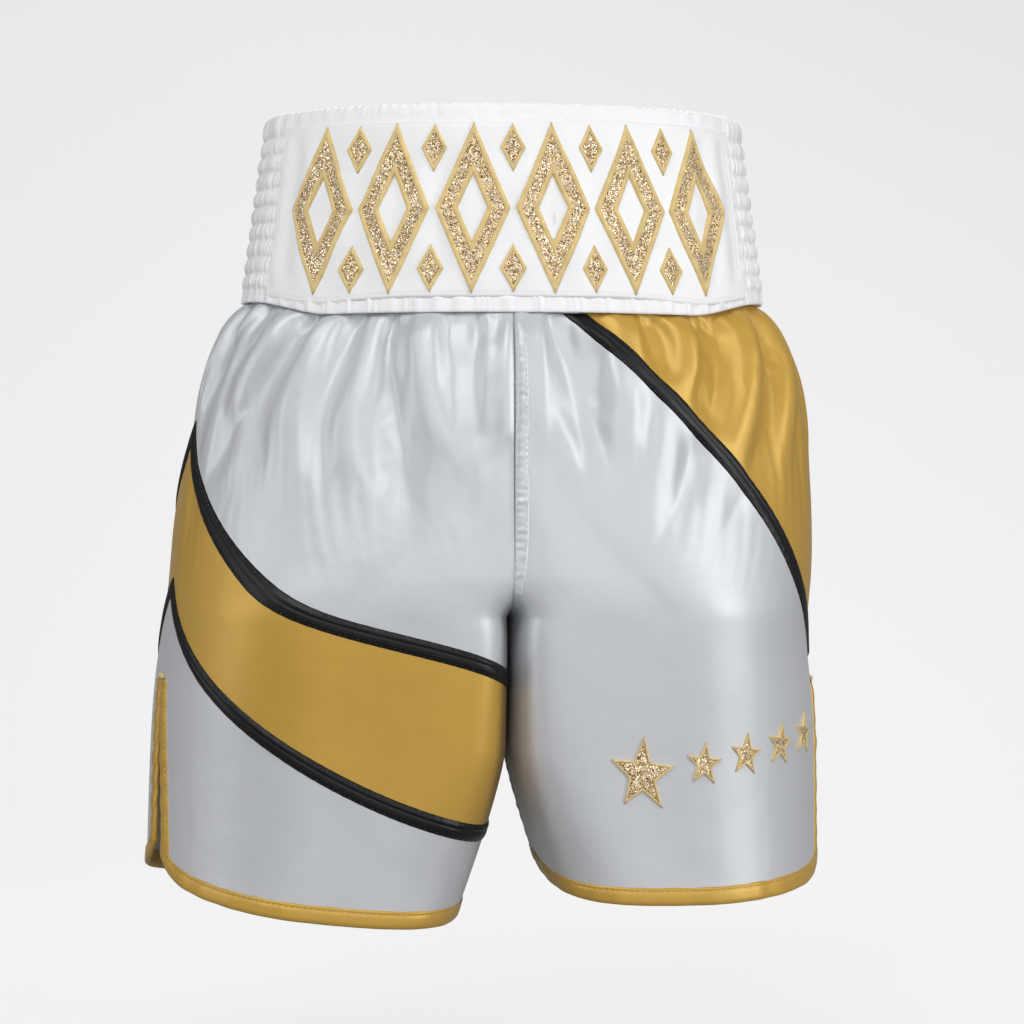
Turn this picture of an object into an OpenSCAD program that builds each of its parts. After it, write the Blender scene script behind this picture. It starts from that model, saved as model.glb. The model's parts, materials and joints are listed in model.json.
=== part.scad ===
// Boxing shorts in their worn shape: an elasticated satin waistband, panelled satin legs with
// ribbon trims, bound hems and side vents, and a flat drawcord inside the waistband.
// Millimetres. Origin at the centre of the waist opening, +Z up, +Y towards the wearer's front,
// +X towards the wearer's right. In a pair of values the first is for the wearer's left leg.
// A `drop` is a distance straight down from the waist's top edge.

/* [Waistband] */
// Half the width of the waist opening at its top edge
waist_half_w = 151; // [140:1:165]
// Half the depth of the waist opening at its top edge
waist_half_d = 102; // [94:1:112]
// Height of the waistband
band_h = 128; // [124:1:134]
// How much wider the waistband's lower edge stands, on each side
band_flare = 16; // [8:1:24]
// Half the angle that a flat overlay panel covers, seen from the waist's centre line
overlay_angle = 64; // [60:1:66]

/* [Body] */
// Distance from the waist's top edge down to the crotch
rise = 317; // [312:1:322]
// Half-width of the body at the left hip
left_hip_half_w = 231; // [220:1:240]
// Half-width of the body at the right hip
right_hip_half_w = 201; // [195:1:215]
// Half-depth of the body at the hips
hip_half_d = 124; // [118:1:130]

/* [Legs] */
// Length of the left outer side, waist to the lowest point of the hem
left_outseam = 505; // [500:1:520]
// Length of the right outer side, waist to the lowest point of the hem
right_outseam = 493; // [485:1:510]
// Half-depth of a leg at its hem
leg_half_d = 114; // [108:1:120]
// Height of the side vents
vent_h = 100; // [60:1:110]
// Half the opening of a side vent at the hem
vent_half_gap = 6; // [3:1:10]

/* [Trims] */
// Width of the black ribbon trims
ribbon_w = 10; // [8:0.5:12]
// Width of the gold hem and vent bindings
binding_w = 11; // [8:1:12]
// Width of the felled centre seams and inseams
seam_w = 9; // [6:1:10]
// Thickness of a fabric layer with its seam turnings
cloth = 1.2; // [1:0.1:1.5]

/* [Drawcord] */
// Length of cord that hangs free below the waistband
cord_tail_hang = 60; // [40:1:65]
// Length of cord that can be pulled out at each end
cord_travel = 50; // [30:1:50]

/* [Hidden] */
LEFT = 0;
RIGHT = 1;
BACK = 1;
FRONT = -1;
clear = 0.3;                                    // gap between neighbouring pieces
binding_gap = 3.3;                              // panels stop this far short of a binding
trim_gap = 0.7;                                 // gap between a left panel and a ribbon
layer_gap = 0.3;                                // gap between fabric layers
hip_half_w = [left_hip_half_w, right_hip_half_w];
outseam = [left_outseam, right_outseam];
puff = 17;                                      // gathers standing out below the waistband
puff_run = 12;
hip_run = [120, 50];                            // how slowly each hip widens below the gathers
crotch_round = 0.14;                            // how softly the legs part at the crotch
crotch_run = 2.3;                               // how suddenly the seat turns under at the crotch
crotch_clear = 1.2;                             // centre line to each leg at the crotch
part_drop = 398;                                // below this the legs stand apart
leg_gap = [31, 28];                             // centre line to each leg at the hem
side_turn = 8;                                  // the side seams sit this far towards the back
side_twist = [18, 0];                           // and turn this much further down to the hem
hem_side_lift = [30, 14];                       // how much each hem rises towards the side
hem_inner_lift = [1, 17];                       // how much each hem rises towards the inseam
hem_corner_lift = 10;                           // how much a hem curls up at its vent
front_lift = 8;                                 // the front hem is this much shorter
left_apex = [203, 297];                        // left ribbons: drop at the side seam
left_end = [359, 450];                          // left ribbons: drop at the inseam
left_bow = [6, 2.45];                            // left ribbons: how strongly each line bows
left_straight = [0.445, 0];                     // left ribbons: share of each line that runs straight
right_point = 338;                              // right ribbon: drop at the side seam
right_reach = 0.837;                            // right ribbon: share of the way to the centre
thigh_cut = 350;                                // where the right leg's panels divide
overlay_top = 9;
overlay_bottom = 119;
elastic_rows = 9;
row_h = 11.6;                                   // pitch of the elastic rows
first_row = 4;
elastic_w = 9.6;
elastic_t = 1;
cord_w = 8;
cord_t = 1.2;
cord_x = 18;                                    // centre line to each cord tail
cord_tip_h = 16;
shell_t = cloth - 0.2;
elastic_in = shell_t + layer_gap;               // layers measured inwards from the outer face
cord_in = elastic_in + elastic_t + 2 * layer_gap;
facing_in = cord_in + cord_t + 2 * layer_gap;
facing_t = 0.8;
interfacing_t = 0.6;                            // layers measured outwards from the outer face
overlay_t = 0.9;
interfacing_out = layer_gap + interfacing_t;
overlay_out = interfacing_out + layer_gap + overlay_t;
patch_base = overlay_out + layer_gap;
patch_mid = (overlay_top + overlay_bottom) / 2;
patch_pitch = 49;
patch_size = [23, 53];                          // half-width and half-height of a large diamond
small_size = [8, 15];
small_rise = 37;                                // small diamonds above and below the middle
patch_border = 3;
patch_stroke = 13;
patch_t = 0.9;
border_t = 1.5;
star_sizes = [24, 14, 14, 14, 14];
star_first = 0.55;                              // place of the large star round the leg
star_drops = [410, 404, 399, 394, 389];
star_waist = 0.42;                              // inner radius of a star over its outer radius
star_lift = 0.4;
edge_t = 0.6;                                   // how far trims stand out from the panels
cols = 16;                                      // grid of the fabric sheets
rows = 8;
ring_n = 48;
base_half_w = waist_half_w + band_flare;
base_half_d = waist_half_d + band_flare * 0.4;
top_line = band_h + 0.6;

// ---------- shape of the body ----------

function clamp01(t) = min(1, max(0, t));
function smooth(t) = let (c = clamp01(t)) c * c * (3 - 2 * c);
function mix(a, b, t) = a + (b - a) * t;
function radians(d) = d * PI / 180;
function steps(n, a = 0, b = 1) = [for (i = [0:n]) mix(a, b, i / n)];
function settle(drop, length) = 1 - exp(-max(0, drop - band_h) / length);

// The smaller of two values, rounded where they cross.
function soft_min(a, b, k) = min(a, b) - pow(max(k - abs(a - b), 0), 2) / (4 * k);

// Outer side of a half, and inner side of a leg below the crotch, both from the centre line.
function outer_x(leg, drop) =
    base_half_w + puff * settle(drop, puff_run)
    + (hip_half_w[leg] - base_half_w - puff) * settle(drop, hip_run[leg]);
function inner_x(leg, drop) =
    crotch_clear + leg_gap[leg] * pow(clamp01((drop - part_drop) / (outseam[leg] - part_drop)), 1.3);

// A leg's cross-section is an ellipse, which the centre plane cuts above the crotch.
function leg_share(drop) =
    soft_min((1 + crotch_round) * pow(clamp01((drop - band_h) / (rise - band_h)), crotch_run), 1,
             crotch_round);
function mid_x(leg, drop) = (outer_x(leg, drop) + inner_x(leg, drop)) / 2 * leg_share(drop);
function half_w(leg, drop) = outer_x(leg, drop) - mid_x(leg, drop);
function half_d(leg, drop) =
    base_half_d + puff / 2 * settle(drop, puff_run)
    + (hip_half_d - base_half_d - puff / 2) * settle(drop, 45)
    - (hip_half_d - leg_half_d) * smooth((drop - rise + 60) / 220);

// Angles round the ellipse: at the side seam, and at the centre seam or inseam.
function side_angle(leg, face, drop) =
    face * (side_turn + side_twist[leg] * clamp01((drop - band_h) / (outseam[leg] - band_h)));
function seam_angle(leg, drop) = acos(max(-1, -mid_x(leg, drop) / half_w(leg, drop)));

// Share of the way round that a distance along the fabric takes up at an angle.
function share_at(leg, face, drop, angle, dist) =
    dist / radians(seam_angle(leg, drop) - side_angle(leg, face, drop))
    / norm([half_w(leg, drop) * sin(angle), half_d(leg, drop) * cos(angle)]);
function side_share(leg, face, drop, dist) =
    share_at(leg, face, drop, side_angle(leg, face, drop), dist);

function vent_top(leg) = hem_line(leg, FRONT, 0) - vent_h;
function vent_gap(leg, drop) =
    clear / 2 + vent_half_gap * pow(clamp01((drop - vent_top(leg)) / vent_h), 0.8);

// Half the width left open for the centre seam or inseam, which stop short of the crotch.
function seam_half(drop) =
    mix(seam_w / 2 + clear, clear,
        smooth((drop - rise + 2) / 8) * (1 - smooth((drop - thigh_cut + 7) / 6)));

// A point of the garment: p runs from the side seam (0) to the centre seam or inseam (1),
// `inset` is measured inwards from the outer face, and `seam` is half the width left for a seam.
function body_point(leg, face, p, drop, inset, seam) =
    let (start = side_angle(leg, face, drop),
         stop = seam_angle(leg, drop),
         from = side_share(leg, face, drop, vent_gap(leg, drop)),
         to = 1 - share_at(leg, face, drop, stop, seam),
         angle = mix(start, stop, mix(from, to, p)),
         side = leg == LEFT ? -1 : 1)
    [side * (mid_x(leg, drop) + (half_w(leg, drop) - inset) * cos(angle)),
     -face * (half_d(leg, drop) - inset) * sin(angle),
     -drop];

// A point of the waistband, at an angle from the back centre and a distance outside it.
function band_point(angle, drop, out) =
    [(waist_half_w + band_flare * drop / band_h + out) * sin(angle),
     -(waist_half_d + 0.4 * band_flare * drop / band_h + out) * cos(angle),
     -drop];

// ---------- trim lines: a drop for every p ----------

// A left ribbon runs smoothly past the crotch, so its line follows q, the share of the way round
// a whole leg. `out` is a distance below the ribbon's middle, square to it.
function whole_share(leg, drop) =
    (seam_angle(leg, drop) - side_angle(leg, BACK, drop)) / (180 - side_angle(leg, BACK, drop));
function ribbon_drop(i, q) =
    mix(left_apex[i], left_end[i], mix(1 - pow(1 - q, left_bow[i]), q, left_straight[i]));
function ribbon_slant(i, q) =
    let (r = min(q, 0.98), run = PI * (half_w(LEFT, rise) + half_d(LEFT, rise)) / 2)
    norm([1, (ribbon_drop(i, r + 0.01) - ribbon_drop(i, r)) / 0.01 / run]);
function left_line(i, p, out = 0, drop = 300, tries = 30) =
    let (q = p * whole_share(LEFT, drop))
    tries == 0 ? drop
        : left_line(i, p, out, mix(drop, ribbon_drop(i, q) + out * ribbon_slant(i, q), 0.5), tries - 1);
function right_line(p) = mix(right_point, band_h, p / right_reach);
function hem_line(leg, face, p) =
    outseam[leg] - hem_side_lift[leg] * pow(1 - p, 3) - hem_inner_lift[leg] * pow(p, 4)
    - hem_corner_lift * exp(-p / 0.03) - (face == FRONT ? front_lift * (1 - p * p) : 0);

// Half the right ribbon's width, measured straight down.
function right_half(p) =
    let (drop = right_line(p),
         run = radians(seam_angle(RIGHT, drop)) * (half_w(RIGHT, drop) + half_d(RIGHT, drop)) / 2)
    ribbon_w / 2 * norm([1, (right_point - band_h) / right_reach / run]);

// ---------- solids ----------

// Joins sections of equal length into one closed solid. A section lists its outer points and
// then its inner points backwards. `flip` keeps the faces outward on mirrored pieces.
module loft(sections, closed = false, flip = false) {
    n = len(sections);
    m = len(sections[0]);
    last = closed ? n - 1 : n - 2;
    all = [for (s = sections) each s];
    walls = [for (i = [0:last], j = [0:m - 1])
        let (a = i * m + j, b = i * m + (j + 1) % m,
             k = (i + 1) % n, c = k * m + (j + 1) % m, d = k * m + j)
        each norm(all[a] - all[c]) < norm(all[b] - all[d])
            ? [[a, b, c], [a, c, d]] : [[a, b, d], [b, c, d]]];
    caps = closed ? [] : [for (j = [0:m / 2 - 2])
        let (a = j, b = j + 1, c = m - 2 - j, d = m - 1 - j, e = (n - 1) * m)
        each [[a, d, c], [a, c, b], [e + a, e + b, e + c], [e + a, e + c, e + d]]];
    faces = concat(walls, caps);
    polyhedron(points = all,
               faces = [for (f = faces) flip ? [f[2], f[1], f[0]] : f], convexity = 6);
}

// A thin plate between two matching rims. The last point of each rim is its centre.
module plate(outer, inner, flip = false) {
    n = len(outer) - 1;
    e = n + 1;
    faces = [for (j = [0:n - 1])
        let (k = (j + 1) % n)
        each [[j, k, n], [e + k, e + j, e + n], [j, e + j, e + k], [j, e + k, k]]];
    polyhedron(points = concat(outer, inner),
               faces = [for (f = faces) flip ? [f[2], f[1], f[0]] : f], convexity = 6);
}

function both(outer, inner) = concat(outer, [for (i = [len(inner) - 1:-1:0]) inner[i]]);
function mirrored(leg, face) = (leg == LEFT) != (face == FRONT);

// A fabric sheet: `hi` and `lo` list its upper and lower drop for every column in `ps`, and
// `edge` is the distance it keeps from the side seam below the top of the vent.
module sheet(leg, face, ps, hi, lo, edge = 0) {
    loft([for (i = [0:len(ps) - 1])
        let (grid = [for (t = steps(rows))
                let (drop = mix(hi[i], lo[i], t),
                     p0 = side_share(leg, face, drop, edge) * (leg == LEFT ? clamp01(6 * t) : 1)
                        * smooth((drop - vent_top(leg) + 34) / 16))
                [mix(p0, 1, ps[i]), drop]])
        both([for (g = grid) body_point(leg, face, g[0], g[1], 0, seam_half(g[1]))],
             [for (g = grid) body_point(leg, face, g[0], g[1], cloth, seam_half(g[1]))])],
        flip = mirrored(leg, face));
}

// A trim between two lists of [p, drop] points. It stands out from the panels beside it.
module trim(leg, face, a, b) {
    function at(q, inset) = body_point(leg, face, q[0], q[1], inset, seam_half(q[1]));
    loft([for (i = [0:len(a) - 1])
        both([at(a[i], -edge_t), at(b[i], -edge_t)], [at(a[i], cloth), at(b[i], cloth)])],
        flip = mirrored(leg, face));
}

// A layer of the waistband between two angles, or all the way round.
module band_layer(top, bottom, out, thick, a0 = 0, a1 = 360, n = ring_n) {
    whole = a1 - a0 == 360;
    loft([for (i = [0:whole ? n - 1 : n])
        let (angle = mix(a0, a1, i / n))
        both([band_point(angle, top, out), band_point(angle, bottom, out)],
             [band_point(angle, top, out - thick), band_point(angle, bottom, out - thick)])],
        closed = whole);
}

// ---------- waistband ----------

module waistband_shell() {
    color("white") band_layer(0, band_h, 0, shell_t);
}

module waistband_facing() {
    color("whitesmoke") band_layer(0.5, band_h - 0.5, -facing_in, facing_t);
}

module elastic_strip(i) {
    top = first_row + (i - 1) * row_h;
    color("lightgray") band_layer(top, top + elastic_w, -elastic_in, elastic_t);
}

module overlay_panel(face) {
    mid = face == BACK ? 0 : 180;
    color("white") band_layer(overlay_top, overlay_bottom, overlay_out, overlay_t,
                              mid - overlay_angle, mid + overlay_angle, 26);
}

module interfacing(face) {
    mid = face == BACK ? 0 : 180;
    inner = overlay_angle - 2;
    color("gainsboro") band_layer(overlay_top + 4, overlay_bottom - 4, interfacing_out, interfacing_t,
                                  mid - inner, mid + inner, 26);
}

// ---------- diamond patches ----------

// Angle round the waistband for a distance along it from the middle of a panel.
patch_w = waist_half_w + band_flare * patch_mid / band_h;
patch_d = waist_half_d + 0.4 * band_flare * patch_mid / band_h;
function arc_to(angle) = angle <= 0 ? 0 :
    arc_to(angle - 2) + radians(2) * norm([patch_w * cos(angle - 1), patch_d * sin(angle - 1)]);
arc_table = [for (a = [0:2:70]) [arc_to(a), a]];
function arc_angle(dist) = sign(dist) * lookup(abs(dist), arc_table);
function on_band(face, x, z, lift) =
    band_point(arc_angle(x) + (face == BACK ? 0 : 180), patch_mid - z, patch_base + lift);

// A diamond's outline, `inset` inside one with half-width size[0] and half-height size[1].
function diamond(size, inset, n) =
    let (w = size[0] - inset * norm(size) / size[1], h = w * size[1] / size[0],
         tips = [[w, 0], [0, h], [-w, 0], [0, -h]])
    [for (k = [0:3], j = [0:n - 1]) mix(tips[k], tips[(k + 1) % 4], j / n)];

module diamond_ring(face, mid, size, outer, inner, thick, n) {
    a = diamond(size, outer, n);
    b = diamond(size, inner, n);
    function at(q, lift) = on_band(face, mid[0] + q[0], mid[1] + q[1], lift);
    loft([for (i = [0:len(a) - 1]) [at(a[i], thick), at(b[i], thick), at(b[i], 0), at(a[i], 0)]],
         closed = true);
}

module diamond_plate(face, mid, size, inset, thick) {
    rim = concat(diamond(size, inset, 1), [[0, 0]]);
    function at(q, lift) = on_band(face, mid[0] + q[0], mid[1] + q[1], lift);
    plate([for (q = rim) at(q, thick)], [for (q = rim) at(q, 0)], flip = true);
}

large_mids = [for (i = [-2.5:1:2.5]) [i * patch_pitch, 0]];
small_mids = [for (i = [-2:1:2], v = [-1, 1]) [i * patch_pitch, v * small_rise]];

module diamond_patches(face) {
    color("goldenrod") {
        for (m = large_mids)
            diamond_ring(face, m, patch_size, patch_border + 0.1, patch_stroke - patch_border - 0.1,
                         patch_t, 4);
        for (m = small_mids) diamond_plate(face, m, small_size, patch_border * 0.7, patch_t);
    }
}

module diamond_borders(face) {
    color("gold") {
        for (m = large_mids) {
            diamond_ring(face, m, patch_size, 0, patch_border, border_t, 4);
            diamond_ring(face, m, patch_size, patch_stroke - patch_border, patch_stroke, border_t, 4);
        }
        for (m = small_mids) diamond_ring(face, m, small_size, 0, patch_border * 0.65, border_t, 2);
    }
}

// ---------- drawcord ----------

cord_top = band_h - cord_travel - 12;           // top of a tail, still held when pulled out
cord_angle = asin(cord_x / base_half_w);
cord_lean = atan(0.4 * band_flare / band_h);
cord_face = atan(tan(cord_angle) * base_half_d / base_half_w);

module drawcord_loop() {
    top = first_row + elastic_rows * row_h + 0.4;
    stop = 180 - cord_angle - 4;
    color("white") band_layer(top, top + cord_w, -elastic_in - layer_gap, cord_t, -stop, stop, 56);
}

// Places a piece in the cord channel: its origin is at the waistband's lower edge.
module in_channel(leg) {
    side = leg == LEFT ? -1 : 1;
    p = band_point(180 - side * cord_angle, band_h, -cord_in - cord_t / 2);
    translate(p) rotate([cord_lean, 0, 0]) rotate([0, 0, -side * cord_face]) children();
}

module cord_tail(leg) {
    bottom = cord_tip_h + clear - cord_tail_hang;
    color("white") in_channel(leg) translate([-cord_w / 2, -cord_t / 2, bottom])
        cube([cord_w, cord_t, band_h - cord_top - bottom]);
}

module cord_tip(leg) {
    color("silver") in_channel(leg) translate([0, 0, -cord_tail_hang])
        linear_extrude(cord_tip_h) square([cord_w + 1, cord_t + 1], center = true);
}

// ---------- body panels ----------

module left_upper_panel(face) {
    ps = steps(cols);
    color("white")
        sheet(LEFT, face, ps, [for (p = ps) top_line],
              [for (p = ps) left_line(0, p, -ribbon_w / 2 - trim_gap)]);
}

module left_band_panel(face) {
    ps = steps(cols);
    color("goldenrod")
        sheet(LEFT, face, ps, [for (p = ps) left_line(0, p, ribbon_w / 2 + trim_gap)],
              [for (p = ps) left_line(1, p, -ribbon_w / 2 - trim_gap)]);
}

module lower_panel(leg, face, hi) {
    ps = steps(cols);
    inside = binding_w + binding_gap;
    edge = side_share(leg, face, outseam[leg], inside);
    color("white")
        sheet(leg, face, ps, hi, [for (p = ps) hem_line(leg, face, mix(edge, 1, p)) - inside], inside);
}

module left_lower_panel(face) {
    lower_panel(LEFT, face, [for (p = steps(cols)) left_line(1, p, ribbon_w / 2 + trim_gap)]);
}

module left_ribbon(i, face) {
    ps = steps(cols);
    color("black") trim(LEFT, face, [for (p = ps) [p, left_line(i, p, -ribbon_w / 2)]],
                        [for (p = ps) [p, left_line(i, p, ribbon_w / 2)]]);
}

// The gold hip panel runs out where the ribbon reaches the waistband.
hip_stop = right_reach * (1 - (ribbon_w * 0.75 + 1) / (right_point - band_h));

module right_hip_panel(face) {
    ps = steps(cols, 0, hip_stop);
    color("goldenrod")
        sheet(RIGHT, face, ps, [for (p = ps) top_line],
              [for (p = ps) right_line(p) - right_half(p) - clear]);
}

module right_upper_panel(face) {
    ps = concat(steps(cols, 0, hip_stop), steps(4, hip_stop + 0.04, 1));
    color("white")
        sheet(RIGHT, face, ps, [for (p = ps) max(top_line, right_line(p) + right_half(p) + clear)],
              [for (p = ps) thigh_cut - clear]);
}

module right_ribbon(face) {
    ps = concat(steps(cols, 0, hip_stop), steps(2, hip_stop + 0.03, right_reach + 0.02));
    color("black") trim(RIGHT, face, [for (p = ps) [p, max(top_line, right_line(p) - right_half(p))]],
                        [for (p = ps) [p, max(top_line + 0.8, right_line(p) + right_half(p))]]);
}

module right_lower_panel(face) {
    lower_panel(RIGHT, face, [for (p = steps(cols)) thigh_cut + clear]);
}

// One bias binding runs from the inseam along the hem, round the corner and up the vent.
module hem_binding(leg, face) {
    hem = steps(24, 1, 0);
    edge = side_share(leg, face, outseam[leg], binding_w);
    corner = hem_line(leg, face, 0);
    turn = hem_line(leg, face, edge) - binding_w;
    up = [for (t = steps(6)) if (t > 0) t];
    function inner_p(drop) = side_share(leg, face, drop, binding_w);
    color("goldenrod") trim(leg, face,
        concat([for (p = hem) [p, hem_line(leg, face, p)]],
               [for (t = up) [0, mix(corner, vent_top(leg), t)]]),
        concat([for (p = hem) let (q = max(p, edge)) [q, hem_line(leg, face, q) - binding_w]],
               [for (t = up) let (drop = mix(turn, vent_top(leg), t)) [inner_p(drop), drop]]));
}

module vent_bartack(leg) {
    side = leg == LEFT ? -1 : 1;
    p = body_point(leg, BACK, 0, vent_top(leg) - 4, -edge_t - 1, 0);
    f = body_point(leg, FRONT, 0, vent_top(leg) - 4, -edge_t - 1, 0);
    color("gold") translate((p + f) / 2)
        rotate([0, 0, side * side_angle(leg, BACK, vent_top(leg)) * -1]) cube([1, 9, 3], center = true);
}

module inseam(leg) {
    top = leg == LEFT ? left_line(0, 1) : thigh_cut + clear;
    low = hem_line(leg, BACK, 1) - clear;
    inwards = [leg == LEFT ? -cloth : cloth, 0, 0];
    color("white") loft([for (drop = steps(10, top, low))
        let (b = body_point(leg, BACK, 1, drop, 0, seam_w / 2),
             f = body_point(leg, FRONT, 1, drop, 0, seam_w / 2))
        both([b, f], [b + inwards, f + inwards])], flip = leg == RIGHT);
}

module centre_seam(face) {
    function upright(drop) = sqrt(clamp01((rise - drop) / 36));
    color("white") loft([for (t = steps(16))
        let (drop = mix(rise - 4, top_line, t * t),
             half = seam_w / 2 - 1.5 * smooth(1 - (rise - drop) / 50),
             l = body_point(LEFT, face, 1, drop, 0, half),
             r = body_point(RIGHT, face, 1, drop, 0, half),
             steep = 90 * (1 - upright(drop)),
             inwards = cloth * [0, face * cos(steep), sin(steep)])
        both([l, r], [l + inwards, r + inwards])], flip = face == FRONT);
}

// ---------- star patches on the right leg ----------

star_mids = [for (i = [0:len(star_sizes) - 1]) [i == 0 ? star_first : star_first - 0.035 - 0.095 * i,
                                                star_drops[i]]];

function on_leg(mid, q, lift) =
    let (p = mid[0] - side_share(RIGHT, BACK, mid[1], q[0]))
    body_point(RIGHT, BACK, p, mid[1] - q[1], -star_lift - lift, 0);
function star(r) = [for (i = [0:9])
    let (q = i % 2 == 0 ? r : r * star_waist) [q * sin(36 * i + 6), q * cos(36 * i + 6)]];

module leg_star_patches() {
    color("goldenrod") for (i = [0:len(star_sizes) - 1]) {
        rim = concat(star(star_sizes[i] - 5.4), [[0, 0]]);
        plate([for (q = rim) on_leg(star_mids[i], q, patch_t)],
              [for (q = rim) on_leg(star_mids[i], q, 0)]);
    }
}

module leg_star_borders() {
    color("gold") for (i = [0:len(star_sizes) - 1]) {
        a = star(star_sizes[i]);
        b = star(star_sizes[i] - 5);
        m = star_mids[i];
        loft([for (j = [0:9]) [on_leg(m, a[j], border_t), on_leg(m, b[j], border_t),
                               on_leg(m, b[j], 0), on_leg(m, a[j], 0)]], closed = true, flip = true);
    }
}

// ---------- nodes ----------

waistband_shell();
waistband_facing();
elastic_strip(1);  // elastic_strip_1
elastic_strip(2);  // elastic_strip_2
elastic_strip(3);  // elastic_strip_3
elastic_strip(4);  // elastic_strip_4
elastic_strip(5);  // elastic_strip_5
elastic_strip(6);  // elastic_strip_6
elastic_strip(7);  // elastic_strip_7
elastic_strip(8);  // elastic_strip_8
elastic_strip(9);  // elastic_strip_9
overlay_panel(BACK);  // back_overlay_panel
overlay_panel(FRONT);  // front_overlay_panel
interfacing(BACK);  // back_interfacing
interfacing(FRONT);  // front_interfacing
diamond_patches(BACK);  // back_diamond_patches
diamond_borders(BACK);  // back_diamond_borders
diamond_patches(FRONT);  // front_diamond_patches
diamond_borders(FRONT);  // front_diamond_borders
drawcord_loop();
cord_tail(LEFT);  // left_cord_tail
cord_tip(LEFT);  // left_cord_tip
cord_tail(RIGHT);  // right_cord_tail
cord_tip(RIGHT);  // right_cord_tip
centre_seam(BACK);  // back_centre_seam
centre_seam(FRONT);  // front_centre_seam
left_upper_panel(BACK);  // left_back_upper_panel
left_upper_panel(FRONT);  // left_front_upper_panel
left_band_panel(BACK);  // left_back_band_panel
left_band_panel(FRONT);  // left_front_band_panel
left_lower_panel(BACK);  // left_back_lower_panel
left_lower_panel(FRONT);  // left_front_lower_panel
left_ribbon(0, BACK);  // left_back_upper_ribbon
left_ribbon(0, FRONT);  // left_front_upper_ribbon
left_ribbon(1, BACK);  // left_back_lower_ribbon
left_ribbon(1, FRONT);  // left_front_lower_ribbon
hem_binding(LEFT, BACK);  // left_back_binding
hem_binding(LEFT, FRONT);  // left_front_binding
vent_bartack(LEFT);  // left_vent_bartack
inseam(LEFT);  // left_inseam
right_hip_panel(BACK);  // right_back_hip_panel
right_hip_panel(FRONT);  // right_front_hip_panel
right_upper_panel(BACK);  // right_back_upper_panel
right_upper_panel(FRONT);  // right_front_upper_panel
right_lower_panel(BACK);  // right_back_lower_panel
right_lower_panel(FRONT);  // right_front_lower_panel
right_ribbon(BACK);  // right_back_ribbon
right_ribbon(FRONT);  // right_front_ribbon
hem_binding(RIGHT, BACK);  // right_back_binding
hem_binding(RIGHT, FRONT);  // right_front_binding
vent_bartack(RIGHT);  // right_vent_bartack
inseam(RIGHT);  // right_inseam
leg_star_patches();
leg_star_borders();
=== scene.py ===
import json
import math

import bpy
import numpy as np
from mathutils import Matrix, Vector

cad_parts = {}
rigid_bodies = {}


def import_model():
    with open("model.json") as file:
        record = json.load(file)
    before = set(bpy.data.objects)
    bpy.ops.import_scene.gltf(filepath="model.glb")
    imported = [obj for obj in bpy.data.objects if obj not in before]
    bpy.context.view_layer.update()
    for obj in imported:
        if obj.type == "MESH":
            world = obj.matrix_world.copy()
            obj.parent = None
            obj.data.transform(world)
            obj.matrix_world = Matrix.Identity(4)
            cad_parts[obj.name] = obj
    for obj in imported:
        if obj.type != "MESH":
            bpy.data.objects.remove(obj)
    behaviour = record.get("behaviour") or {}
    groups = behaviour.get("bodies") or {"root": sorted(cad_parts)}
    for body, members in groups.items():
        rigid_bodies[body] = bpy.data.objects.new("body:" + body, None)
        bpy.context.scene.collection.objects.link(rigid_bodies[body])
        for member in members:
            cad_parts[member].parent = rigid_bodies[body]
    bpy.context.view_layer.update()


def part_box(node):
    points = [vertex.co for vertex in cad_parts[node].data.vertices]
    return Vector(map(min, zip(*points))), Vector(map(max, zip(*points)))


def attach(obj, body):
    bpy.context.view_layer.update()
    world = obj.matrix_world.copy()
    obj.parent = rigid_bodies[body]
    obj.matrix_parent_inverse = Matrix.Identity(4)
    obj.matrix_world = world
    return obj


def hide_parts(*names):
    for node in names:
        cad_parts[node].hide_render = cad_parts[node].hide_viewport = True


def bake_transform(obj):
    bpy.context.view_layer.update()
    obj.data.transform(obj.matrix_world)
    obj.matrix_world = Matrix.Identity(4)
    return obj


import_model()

# Boxing shorts: satin panels with gathers and folds, a shirred waistband, glitter patches with
# satin-stitch borders, ribbon trims, bindings and topstitching, built round the CAD frame.
# Lengths are in millimetres until a mesh is made. A `drop` is a distance down from the waist's
# top edge. In a pair of values the first is for the wearer's left leg.

LEFT, RIGHT = 0, 1
BACK, FRONT = 1, -1
FACES = {"back": BACK, "front": FRONT}
METRES = 0.001

# ---------- driving dimensions ----------

shell_low, shell_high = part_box("waistband_shell")
BAND_H = -shell_low.z / METRES
BAND_W = shell_high.x / METRES             # half-width and half-depth at the band's lower edge
BAND_D = shell_high.y / METRES
BAND_FLARE = 16.0                          # how much narrower its top edge is, on each side
FLARE_DEPTH = 0.4                          # the depth flares this share as much as the width
SIDE_RISE = 11.0                           # how far the elastic draws the sides up

# The body's shape: half-widths, half-depths and drops.
RISE = 317.0                               # drop of the crotch
HIP_W = (231.0, 201.0)
HIP_D = 124.0
LEG_D = 114.0
OUTSEAM = (505.0, 493.0)
PUFF = 17.0                                # how far the cloth stands out right below the band
PUFF_RUN = 12.0
HIP_RUN = (120.0, 50.0)                    # how soon each side widens from the band to the hip
SQUARE = (4.6, 2.0)                        # how squarely a leg turns inwards, at the crotch and the hem
INNER_SWELL = 4.0                          # how much fuller each leg is between its back and inseam
CROTCH_ROUND = 0.14
CROTCH_RUN = 2.3                           # how late the body splits into two legs
CROTCH_CLEAR = 0.1
PART_DROP = 398.0                          # below this the legs draw apart
LEG_GAP = (31.0, 28.0)                     # from the middle to each leg at its hem
SIDE_TURN = 8.0                            # degrees from the side to the side seam, at the band
SIDE_TWIST = (18.0, 0.0)                   # and how many more at the hem

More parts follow.
